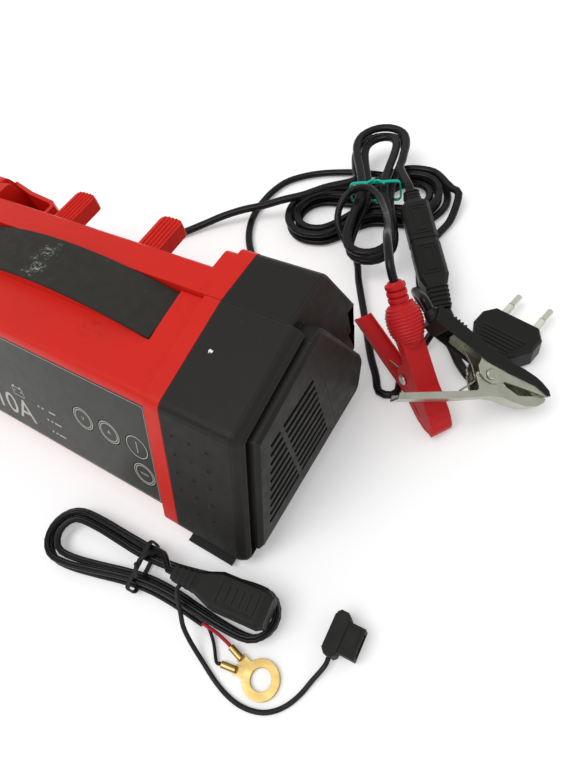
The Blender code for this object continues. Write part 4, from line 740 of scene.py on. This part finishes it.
def wire_lines(coil):
    """The two short cores between the accessory lead and its ring terminals."""
    split = toward(coil, True, GAP)
    out = (Vector(coil[0]) - Vector(coil[1])).normalized()
    lines = {}
    for name, heading, lift, shift in (("a", 167, 1.25, 0.85), ("b", 191, 0.15, -0.85)):
        place = turned_to(math.radians(heading), Vector((*RINGS_AT, lift)))
        end = place @ Vector((19.0 + GAP, 0, 1.6))
        away = place.to_3x3() @ Vector((1, 0, 0))
        begin = split + Vector((0, 0, shift * 1.1))
        middle = (begin + end) / 2 + Vector((0, 0.6, -0.6))
        lines[name] = free_line([begin, begin + out * 2.4, middle, end + away * 2.4, end], WIRE_D)
    return lines


def tie_line(values, diameter, x):
    """A closed line round a hank's waist, x from its middle."""
    rings = values["turns"] / values["layers"]
    radius = values["bend"] + values["pitch"] * rings
    narrow = values["waist"] + values["pitch"] * 1.08 * rings
    half = narrow + (radius - narrow) * smooth_step(abs(x) / values["run"]) + diameter / 2
    reach = half + 0.5 + TIE_D / 2
    low = max(values["floor"] - diameter / 2 - 0.45 - TIE_D / 2, TIE_D / 2 + 0.05)
    high = values["floor"] + values["lift"] + diameter / 2 + 0.5 + TIE_D / 2
    h = values["heading"]
    ahead, across = Vector((math.cos(h), math.sin(h), 0)), Vector((math.sin(h), -math.cos(h), 0))
    middle = Vector(values["centre"]) + ahead * x
    line = [(u, v + (low + high) / 2) for u, v in rounded_box(2 * reach, high - low, 2.6, 4)]
    return [middle + across * u + Vector((0, 0, v)) for u, v in line], ahead


# ---------------------------------------------------------------- operators

CAMERA_LENS, CAMERA_SENSOR, CLIP_NEAR, CLIP_FAR = 26.82, 36.0, 0.01, 20.0
CAMERA_AT = Vector((238.81, -93.21, 270.01))
CAMERA_RIGHT = Vector((0.8392161708, 0.5078799665, -0.1943557518))
CAMERA_DOWN = Vector((0.3408961942, -0.7697990984, -0.5396286991))
CAMERA_AHEAD = Vector((-0.4236814881, 0.3866099944, -0.8191621994))
SUN_FROM = Vector((-0.25, -0.35, 1.0))
FLOOR_HALF, FLOOR_GLOW = 4.0, 0.24


class CHARGER_OT_stage(bpy.types.Operator):
    """Camera, floor and soft light"""
    bl_idname = "charger.stage"
    bl_label = "Stage"

    def execute(self, context):
        scene = context.scene
        light = scene.charger_light
        data = bpy.data.cameras.new("camera")
        data.sensor_width, data.lens = CAMERA_SENSOR, CAMERA_LENS
        data.clip_start, data.clip_end = CLIP_NEAR, CLIP_FAR
        camera = bpy.data.objects.new("camera", data)
        scene.collection.objects.link(camera)
        place = Matrix((CAMERA_RIGHT, -CAMERA_DOWN, -CAMERA_AHEAD)).transposed().to_4x4()
        place.translation = CAMERA_AT * MM
        camera.matrix_world = place
        scene.camera = camera
        scene.view_settings.view_transform = "Standard"

        world = bpy.data.worlds.new("studio")
        scene.world = world
        world.use_nodes = True
        tree = world.node_tree
        back = tree.nodes["Background"]
        back.inputs["Color"].default_value = (1, 1, 1, 1)
        seen = tree.nodes.new("ShaderNodeLightPath")
        mix = tree.nodes.new("ShaderNodeMix")
        tree.links.new(seen.outputs["Is Camera Ray"], mix.inputs["Factor"])
        mix.inputs["A"].default_value = light.sky
        mix.inputs["B"].default_value = 1.0
        tree.links.new(mix.outputs["Result"], back.inputs["Strength"])

        lamp = bpy.data.lights.new("soft_lamp", "SUN")
        lamp.energy, lamp.angle = light.sun, light.softness
        obj = bpy.data.objects.new("soft_lamp", lamp)
        obj.rotation_euler = SUN_FROM.to_track_quat("Z", "Y").to_euler()
        scene.collection.objects.link(obj)

        bm = bmesh.new()
        bmesh.ops.create_grid(bm, x_segments=2, y_segments=2, size=FLOOR_HALF)
        plane = bpy.data.meshes.new("floor")
        bm.to_mesh(plane)
        bm.free()
        floor = bpy.data.objects.new("floor", plane)
        scene.collection.objects.link(floor)
        r = Recipe("paper_floor")
        seen = r.add("LightPath").outputs
        shown = r.maths("MAXIMUM", seen["Is Camera Ray"], seen["Is Glossy Ray"])
        shown = r.maths("MAXIMUM", shown, seen["Is Transmission Ray"])
        r.finish(r.mixed(r.noise(3.0), (0.86, 0.86, 0.86), (0.88, 0.88, 0.88)), 0.9)
        r.fill(r.shader, {"Specular IOR Level": 0.1, "Emission Color": (1, 1, 1),
                          "Emission Strength": r.maths("MULTIPLY", shown, FLOOR_GLOW)})
        plane.materials.append(r.material)
        return {"FINISHED"}


class CHARGER_OT_leads(bpy.types.Operator):
    """Mains lead, battery lead, clamp leads, accessory lead and strap"""
    bl_idname = "charger.leads"
    bl_label = "Leads"

    def execute(self, context):
        s, n = context.scene.charger_sizes, NODES
        lay_cord("mains_lead", mains_line(), twin(s.mains_width / MM, 3.9), "lead_sheath",
                 ("mains_cord", "mains_hank", "mains_tail"))
        lay_cord("battery_lead", output_line(), twin(s.output_width / MM, 4.3), "lead_sheath",
                 ("output_cord", "output_hank", "output_tail"))
        disc = circle(s.clamp_lead / MM / 2, 16)
        for which in ("red", "black"):
            lay_cord(which + "_clamp_lead", clamp_line(which), disc, "lead_sheath",
                     (which + "_lead",))
        line, coil = accessory_line()
        for name, finish, slot in (("a", "wire_red", "wire_red"), ("b", "wire_black", "cord")):
            route = smooth_line(wire_lines(coil)[name], 30)
            core = piece("accessory_core_" + name,
                         swept(bmesh.new(), route, circle(WIRE_D / 2, 12)), finish)
            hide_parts("ring_wire_" + name)
        lay_cord("accessory_lead", line[::-1], twin(s.small_lead / MM, 2.7), "lead_sheath",
                 ("ring_lead_hank",))
        lay_cord("cap_strap", strap_line(), circle(s.strap / MM / 2, 12), "strap_rubber",
                 ("ring_lead_strap",))
        return {"FINISHED"}


class CHARGER_OT_ties(bpy.types.Operator):
    """Wire ties round the two hanks, each with its twisted ends"""
    bl_idname = "charger.ties"
    bl_label = "Ties"

    def execute(self, context):
        ribbon = [(1.1, -0.35), (1.1, 0.35), (0.35, 0.62), (-0.35, 0.62), (-1.1, 0.35),
                  (-1.1, -0.35), (-0.35, -0.62), (0.35, -0.62)]
        for name, values, d, x, finish, slot in (
                ("green_wire_tie", OUTPUT_HANK, OUTPUT_D, 0.5, "green_tie", "green_tie"),
                ("black_wire_tie", RING_HANK, SMALL_D, -8.5, "strap_rubber", "soft_rubber")):
            line, ahead = tie_line(values, d, x)
            rings = []
            for i, p in enumerate(line):
                way = (line[(i + 1) % len(line)] - line[i - 1]).normalized()
                out = way.cross(ahead)
                rings.append([p + ahead * u + out * v for u, v in ribbon])
            bm = loft(bmesh.new(), rings, ends=False)
            top = max(p.z for p in line)
            crown = [p for p in line if p.z > top - 0.01]
            knot = sum(crown, Vector()) / len(crown) + Vector((0, 0, 0.5))
            across = Vector((ahead.y, -ahead.x, 0))
            for sign in (1, -1):
                tail = [knot, knot + across * sign * 1.5 + Vector((0, 0, 1.0)),
                        knot + across * sign * 4.0 + ahead * 1.6 + Vector((0, 0, 1.0)),
                        knot + across * sign * 6.5 + ahead * 2.6 + Vector((0, 0, 0.1))]
                swept(bm, smooth_line(tail, 10), [(u * 0.8, v * 0.8) for u, v in ribbon])
            twist = [knot + across * 1.6 * math.cos(t / 2) * 0.6 + ahead * (t / 4 - 1.2)
                     + Vector((0, 0, 0.5 + 0.5 * math.sin(t))) for t in range(0, 11)]
            swept(bm, smooth_line(twist, 24), circle(0.7, 8))
            obj = piece(name, bm, finish)
            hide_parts("output_tie" if finish == "green_tie" else "ring_lead_tie")
        return {"FINISHED"}


class CHARGER_OT_case(bpy.types.Operator):
    """Finishes of the case, the caps, the grip and the feet"""
    bl_idname = "charger.case"
    bl_label = "Case"

    def execute(self, context):
        dress("red_case", "front_shell", "rear_shell")
        corners = [f"{a}_{b}" for a in ("front", "rear") for b in ("left", "right")]
        dress("black_case", *("cap_" + corner for corner in corners))
        dress("soft_rubber", *("foot_" + corner for corner in corners), "gland_mains",
              "gland_output")
        dress("grip_rubber", "grip_pad")
        return {"FINISHED"}


POST_X = 32.4           # middles of the cord posts
GLAND_ROOT_Y = 33.3
DIMPLES = ((101.6, (68.6, 57.2, 45.8, 34.5)), (111.2, (69.0, 57.6, 46.2, 34.8, 23.4)),
           (120.5, (68.7, 57.6, 46.5, 35.4, 24.2)))      # x, heights up the front face


class CHARGER_OT_case_detail(bpy.types.Operator):
    """Ridges of the cord posts, dimples of the cap, ribs of the reliefs"""
    bl_idname = "charger.case_detail"
    bl_label = "Case detail"

    def execute(self, context):
        for name, x in (("right", POST_X), ("left", -POST_X)):
            bm = bmesh.new()
            for i in range(-2, 3):
                tip = 58.5 if abs(i) < 2 else 57.9
                line = [(x + 2.5 * i, y, z) for y, z in (
                    (33.2, 83.55), (tip - 2.2, 83.55), (tip - 0.6, 83.1), (tip - 0.05, 81.8),
                    (tip - 0.05, 76.4))]
                swept(bm, smooth_line(line, 26), circle(0.72, 10), up=Vector((1, 0, 0)))
            piece("post_ridges_" + name, bm, "red_case")
        spots = [front_frame(x, up, 0.0) for x, ups in DIMPLES for up in ups]
        bm = bmesh.new()
        for place in spots:
            band(bm, circle(1.15, 20), circle(0.75, 20), -0.2, 0.12, place)
        piece("cap_dimple_rims", bm, "black_case")
        # Shallow discs inside the rims, painted near-black as the shade inside each dimple.
        bm = bmesh.new()
        for place in spots:
            turned(bm, [(0.8, -0.2), (0.8, 0.02), (0.5, 0.06)], 16, place)
        piece("cap_dimple_wells", bm, "hole_dark")
        piece("seam_nib", turned(bmesh.new(), [(0.9, -0.4), (0.75, 0.3), (0.3, 0.75), (0.1, 0.8)],
                                 10, Matrix.Translation((82.6, 18.9, 90.5))), "red_case")
        for name, x, d in (("mains", MAINS_X, MAINS_D), ("output", OUTPUT_X, OUTPUT_D)):
            bm = bmesh.new()
            for i in range(5):
                far = 7.5 + 2.6 * i
                r = 5.5 + (d / 2 + 1.2 - 5.5) * (far - 5.0) / 15.0
                turned(bm, [(r - 0.4, far - 0.8), (r + 0.35, far - 0.5), (r + 0.35, far + 0.3),
                            (r - 0.5, far + 0.7)], 24,
                       along((x, GLAND_ROOT_Y, GLAND_Z), (x, GLAND_FACE_Y, GLAND_Z)))
            piece("relief_rings_" + name, bm, "soft_rubber")
        return {"FINISHED"}


PRINT_LOW, PRINT_HIGH = 0.005, 0.05     # ink above the film
TEXT_INSET = PANEL_INSET - 0.03
TEXT_DEPTH = 0.03
BUTTON_RINGS = {"volt": (38.7, 46.7, 2), "amp": (56.9, 46.7, 2), "power": (75.5, 46.7, 1),
                "mode": (76.9, 29.1, 2)}                 # x, up the front, rings
PANEL_LOW, PANEL_HIGH, PANEL_HALF = 12.9, 76.6, 85.6


def text_piece(name, words, size, x, up, body="charger"):
    data = bpy.data.curves.new(name, "FONT")
    data.body, data.size, data.align_x, data.align_y = words, size * MM, "CENTER", "CENTER"
    data.extrude = TEXT_DEPTH * MM
    data.materials.append(finish_for("panel_ink"))
    obj = bpy.data.objects.new(name, data)
    bpy.context.scene.collection.objects.link(obj)
    made = front_frame(x, up, TEXT_INSET)
    made.translation *= MM
    obj.matrix_world = made
    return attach(obj, body)


def printed(bm, place, outline, inner=None):
    """Ink on the film: a filled outline, or a line between two."""
    if inner:
        return band(bm, outline, inner, PRINT_LOW, PRINT_HIGH, place)
    return prism(bm, outline, PRINT_LOW, PRINT_HIGH, place)


class CHARGER_OT_panel(bpy.types.Operator):
    """Control panel, its buttons and their printed marks"""
    bl_idname = "charger.panel"
    bl_label = "Panel"

    def execute(self, context):
        line = context.scene.charger_sizes.ink / MM
        dress("panel_film", "control_panel")
        for name, (x, up, count) in BUTTON_RINGS.items():
            dress("button_film", "button_" + name)
            bm = bmesh.new()
            place = front_frame(x, up)
            for i in range(count):
                r = 6.9 - 1.15 * i
                printed(bm, place, circle(r, 48), circle(r - line, 48))
            if name == "power":
                printed(bm, place, rounded_box(line, 7.6, line / 2.1))
            piece(f"button_{name}_print", bm, "panel_ink", body="button_" + name)
        for name, key, word, size in (("button_volt_letter", "volt", "V", 3.6),
                                      ("button_amp_letter", "amp", "A", 3.6),
                                      ("button_mode_word", "mode", "MODE", 1.9)):
            x, up, _ = BUTTON_RINGS[key]
            text_piece(name, word, size, x, up, "button_" + key)
        text_piece("panel_rating", "10A", 21.0, -24.0, 26.6)
        wide, tall = 2 * PANEL_HALF - 1.4, PANEL_HIGH - PANEL_LOW - 1.4
        bm = printed(bmesh.new(), front_frame(0, (PANEL_LOW + PANEL_HIGH) / 2),
                     rounded_box(wide, tall, 1.2), rounded_box(wide - 0.5, tall - 0.5, 1.0))
        piece("panel_border", bm, "panel_ink")
        place = front_frame(-14.9, 40.0)
        bm = printed(bmesh.new(), place, rounded_box(9.0, 6.0, 0.6), rounded_box(8.2, 5.2, 0.4))
        for dx in (-2.6, 2.6):
            printed(bm, moved(place, dx, 3.5), rounded_box(1.6, 1.0, 0.2))
            printed(bm, moved(place, dx, 0.4), rounded_box(1.8, 0.4, 0.15))
        printed(bm, moved(place, 2.6, 0.4), rounded_box(0.4, 1.8, 0.15))
        piece("panel_battery_mark", bm, "panel_ink")
        bm = bmesh.new()
        for left, right, up in ((-0.1, 14.6, 37.0), (5.1, 16.9, 30.0), (6.3, 17.9, 22.0)):
            place = front_frame(0, up)
            turned(bm, [(0.7, PRINT_LOW), (0.7, PRINT_HIGH)], 16, moved(place, left + 1, 0))
            for a, b in ((left + 3.4, left + 5.2), (right - 5.4, right - 0.2)):
                printed(bm, moved(place, (a + b) / 2, 0), rounded_box(b - a, 1.0, 0.3))
        piece("panel_level_marks", bm, "panel_ink")
        return {"FINISHED"}


def slab(x, width, height):
    w, h = width / 2, height / 2
    c = min(w, h) * 0.35
    return [(x, a, b) for a, b in ((w, h - c), (w - c, h), (-w + c, h), (-w, h - c), (-w, -h + c),
                                   (-w + c, -h), (w - c, -h), (w, -h + c))]


def rib(bm, place, x, width, height, half, waist=0.9, crest=1.03):
    """One rib round a boxy neck, x along it."""
    steps = (-half, waist), (-half / 2, crest), (half / 2, crest), (half, waist)
    loft(bm, [slab(x + far, width * k, height * k) for far, k in steps], place)


class CHARGER_OT_connectors(bpy.types.Operator):
    """Two-part connector of the battery lead, and the accessory lead's connector"""
    bl_idname = "charger.connectors"
    bl_label = "Connectors"

    def execute(self, context):
        dress("black_plastic", "connector_socket", "connector_plug", "ring_connector")
        place = frame_from(CONNECTOR_TOP, CONNECTOR_LOW, (0, 0, 1))
        top = CONNECTOR_T / 2
        for name, low, high in (("socket", 14.5, 36.5), ("plug", 45.0, 66.0)):
            bm = bmesh.new()
            at, long = moved(place, (low + high) / 2, 0), high - low
            for z0, z1 in both_faces(top - 0.2, top + 0.35):
                for outer, inner in (((long, 11.0, 1.2), (long - 1.4, 9.6, 0.8)),
                                     ((long - 4.4, 6.4, 0.8), (long - 5.6, 5.2, 0.5))):
                    band(bm, rounded_box(*outer), rounded_box(*inner), z0, z1, at)
            piece(f"connector_{name}_relief", bm, "black_plastic")
        bm = bmesh.new()
        r, total = 2 * RELIEF_R, (CONNECTOR_LOW - CONNECTOR_TOP).length
        for i in range(5):
            rib(bm, place, total - 13.6 + 2.9 * i, r + 3.4 - 0.35 * i, r + 0.9 - 0.4 * i, 0.9)
        for i in range(3):
            rib(bm, place, 1.4 + 2.6 * i, r + 0.3, r + 0.3, 0.8)
        piece("connector_neck_rings", bm, "black_plastic")
        place = frame_from(*accessory_ends(), (0, 0, 1))
        bm = bmesh.new()
        at = moved(place, 35.0, 0)
        for z0, z1 in both_faces(4.85, 5.35):
            band(bm, rounded_box(19.0, 11.5, 1.2), rounded_box(17.8, 10.3, 0.8), z0, z1, at)
            for i in range(4):
                prism(bm, rounded_box(1.0, 7.4, 0.4), z0, z1, moved(at, -5.4 + 3.6 * i, 0))
        for i in range(4):
            x = 1.8 + 3.1 * i
            rib(bm, place, x, 7.2 + 0.18 * x, 6.5 + 0.12 * x, 1.0, 0.92, 1.06)
        piece("accessory_connector_relief", bm, "black_plastic")
        return {"FINISHED"}


class CHARGER_OT_plug(bpy.types.Operator):
    """Flat two-pin mains plug with its grip ribs"""
    bl_idname = "charger.plug"
    bl_label = "Plug"

    def execute(self, context):
        dress("black_plastic", "plug_body")
        dress("pin_sleeve", "pin_sleeve_left", "pin_sleeve_right")
        dress("pin_metal", "pin_left", "pin_right")
        place = turned_to(PLUG_AIM - math.pi / 2, PLUG_FACE)
        bm = bmesh.new()
        h = PLUG_T / 2
        for i in range(6):
            for z0, z1 in both_faces(h - 0.4, h + 0.45):
                prism(bm, rounded_box(24.5 - 1.9 * i, 1.2, 0.5), z0, z1,
                      moved(place, 0, -12.6 - 2.3 * i))
        for i in range(3):
            turned(bm, [(3.6, -0.7), (4.3, -0.4), (4.3, 0.4), (3.6, 0.7)], 20,
                   place @ along((0, -PLUG_LENGTH - 1.5 - 2.2 * i, 0), (0, -40, 0)))
        piece("plug_ribs", bm, "black_plastic")
        return {"FINISHED"}


BELLY = Vector((-13.5, 13.2, 0)), Vector((-34.0, 19.8, 0))     # red clamp's swelling handle
BELLY_RADII = (4.6, 6.6, 8.2, 8.6, 8.2, 6.4)
BELLY_RIBS, STEPS_PER_RIB = 11, 6


class CHARGER_OT_clamps(bpy.types.Operator):
    """Red and black battery clamps"""
    bl_idname = "charger.clamps"
    bl_label = "Clamps"

    def execute(self, context):
        dress("clamp_red", "red_clamp_arm", "red_clamp_lever")
        dress("black_plastic", "black_clamp_sleeve")
        dress("clamp_nickel", "black_clamp_arm", "black_clamp_lever", "black_clamp_rivet",
              "red_clamp_rivet")
        dress("spring_steel", "black_clamp_spring", "red_clamp_spring")
        place = frame_from(**RED_CLAMP)
        total, profile = (BELLY[1] - BELLY[0]).length, []
        for i in range(BELLY_RIBS * STEPS_PER_RIB + 1):
            t = 0.12 + 0.86 * i / (BELLY_RIBS * STEPS_PER_RIB)
            k = t * (len(BELLY_RADII) - 1)
            j = min(int(k), len(BELLY_RADII) - 2)
            r = BELLY_RADII[j] + (BELLY_RADII[j + 1] - BELLY_RADII[j]) * (k - j)
            wave = 0.28 * (1 - math.cos(2 * math.pi * i / STEPS_PER_RIB))
            profile.append((r + 0.12 + wave, total * t))
        piece("red_clamp_belly_ribs", turned(bmesh.new(), profile, 40, place @ along(*BELLY)),
              "clamp_red")
        total = (RED_BOOT[1] - RED_BOOT[0]).length
        bm = bmesh.new()
        for i in range(3):
            mid = total * (0.30 + 0.26 * i)
            turned(bm, [(3.9, mid - 1.3), (5.0, mid - 1.0), (5.15, mid), (5.0, mid + 1.0),
                        (3.9, mid + 1.3)], 32, place @ along(*RED_BOOT))
        piece("red_clamp_neck_rings", bm, "clamp_red")
        place = frame_from(**BLACK_CLAMP)
        bm = bmesh.new()
        for i in range(8):
            prism(bm, rounded_box(1.0, 1.7, 0.35), -6.4, 6.4,
                  moved(place, -32.6 + 2.0 * i, 22.2 - 0.62 * i) @ Matrix.Rotation(-0.3, 4, "Z"))
        piece("black_clamp_back_ribs", bm, "black_plastic")
        return {"FINISHED"}


class CHARGER_OT_accessory(bpy.types.Operator):
    """Ring terminals and the soft cap of the accessory lead"""
    bl_idname = "charger.accessory"
    bl_label = "Accessory"

    def execute(self, context):
        dress("brass", "ring_terminal_a", "ring_terminal_b")
        dress("soft_rubber", "ring_lead_cap")
        place = cap_frame()
        bm = bmesh.new()
        for z0, z1 in both_faces(4.2, 4.75):
            band(bm, rounded_box(10.6, 8.6, 1.2), rounded_box(8.8, 6.8, 0.7), z0, z1,
                 moved(place, 0, -1.6))
        for i in range(5):
            prism(bm, rounded_box(0.9, 4.6, 0.3), -4.6, 4.6, moved(place, -6.4 + 3.2 * i, 4.0))
        piece("accessory_cap_relief", bm, "soft_rubber")
        return {"FINISHED"}


class CHARGER_OT_inside(bpy.types.Operator):
    """Boards, transformer, heat sink and fan behind the vents"""
    bl_idname = "charger.inside"
    bl_label = "Inside"

    def execute(self, context):
        dress("circuit_board", "control_board", "power_board")
        dress("core_steel", "transformer_core")
        dress("winding", "transformer_winding")
        dress("can", "capacitor")
        dress("sink", "heat_sink")
        dress("black_plastic", "fan_frame", "fan_rotor")
        return {"FINISHED"}


STEPS = (CHARGER_OT_stage, CHARGER_OT_leads, CHARGER_OT_ties, CHARGER_OT_case,
         CHARGER_OT_case_detail, CHARGER_OT_panel, CHARGER_OT_connectors, CHARGER_OT_plug,
         CHARGER_OT_clamps, CHARGER_OT_accessory, CHARGER_OT_inside)
GROUPS = (("charger_colours", ChargerColours), ("charger_sizes", ChargerSizes),
          ("charger_light", ChargerLight))


class CHARGER_PT_panel(bpy.types.Panel):
    """Lists the charger's steps and settings"""
    bl_idname = "CHARGER_PT_panel"
    bl_label = "Car battery charger"
    bl_space_type = "VIEW_3D"
    bl_region_type = "UI"
    bl_category = "Charger"

    def draw(self, context):
        for name, group in GROUPS:
            box = self.layout.box()
            for key in group.__annotations__:
                box.prop(getattr(context.scene, name), key)
        for step in STEPS:
            self.layout.operator(step.bl_idname, text=step.bl_label)


def register():
    for _, group in GROUPS:
        bpy.utils.register_class(group)
    for cls in (*STEPS, CHARGER_PT_panel):
        bpy.utils.register_class(cls)
    for name, group in GROUPS:
        setattr(bpy.types.Scene, name, bpy.props.PointerProperty(type=group))


def unregister():
    for name, _ in GROUPS:
        delattr(bpy.types.Scene, name)
    for cls in reversed((*[g for _, g in GROUPS], *STEPS, CHARGER_PT_panel)):
        bpy.utils.unregister_class(cls)


def main():
    register()
    for step in STEPS:
        area, name = step.bl_idname.split(".")
        getattr(getattr(bpy.ops, area), name)()


if __name__ == "__main__":
    main()
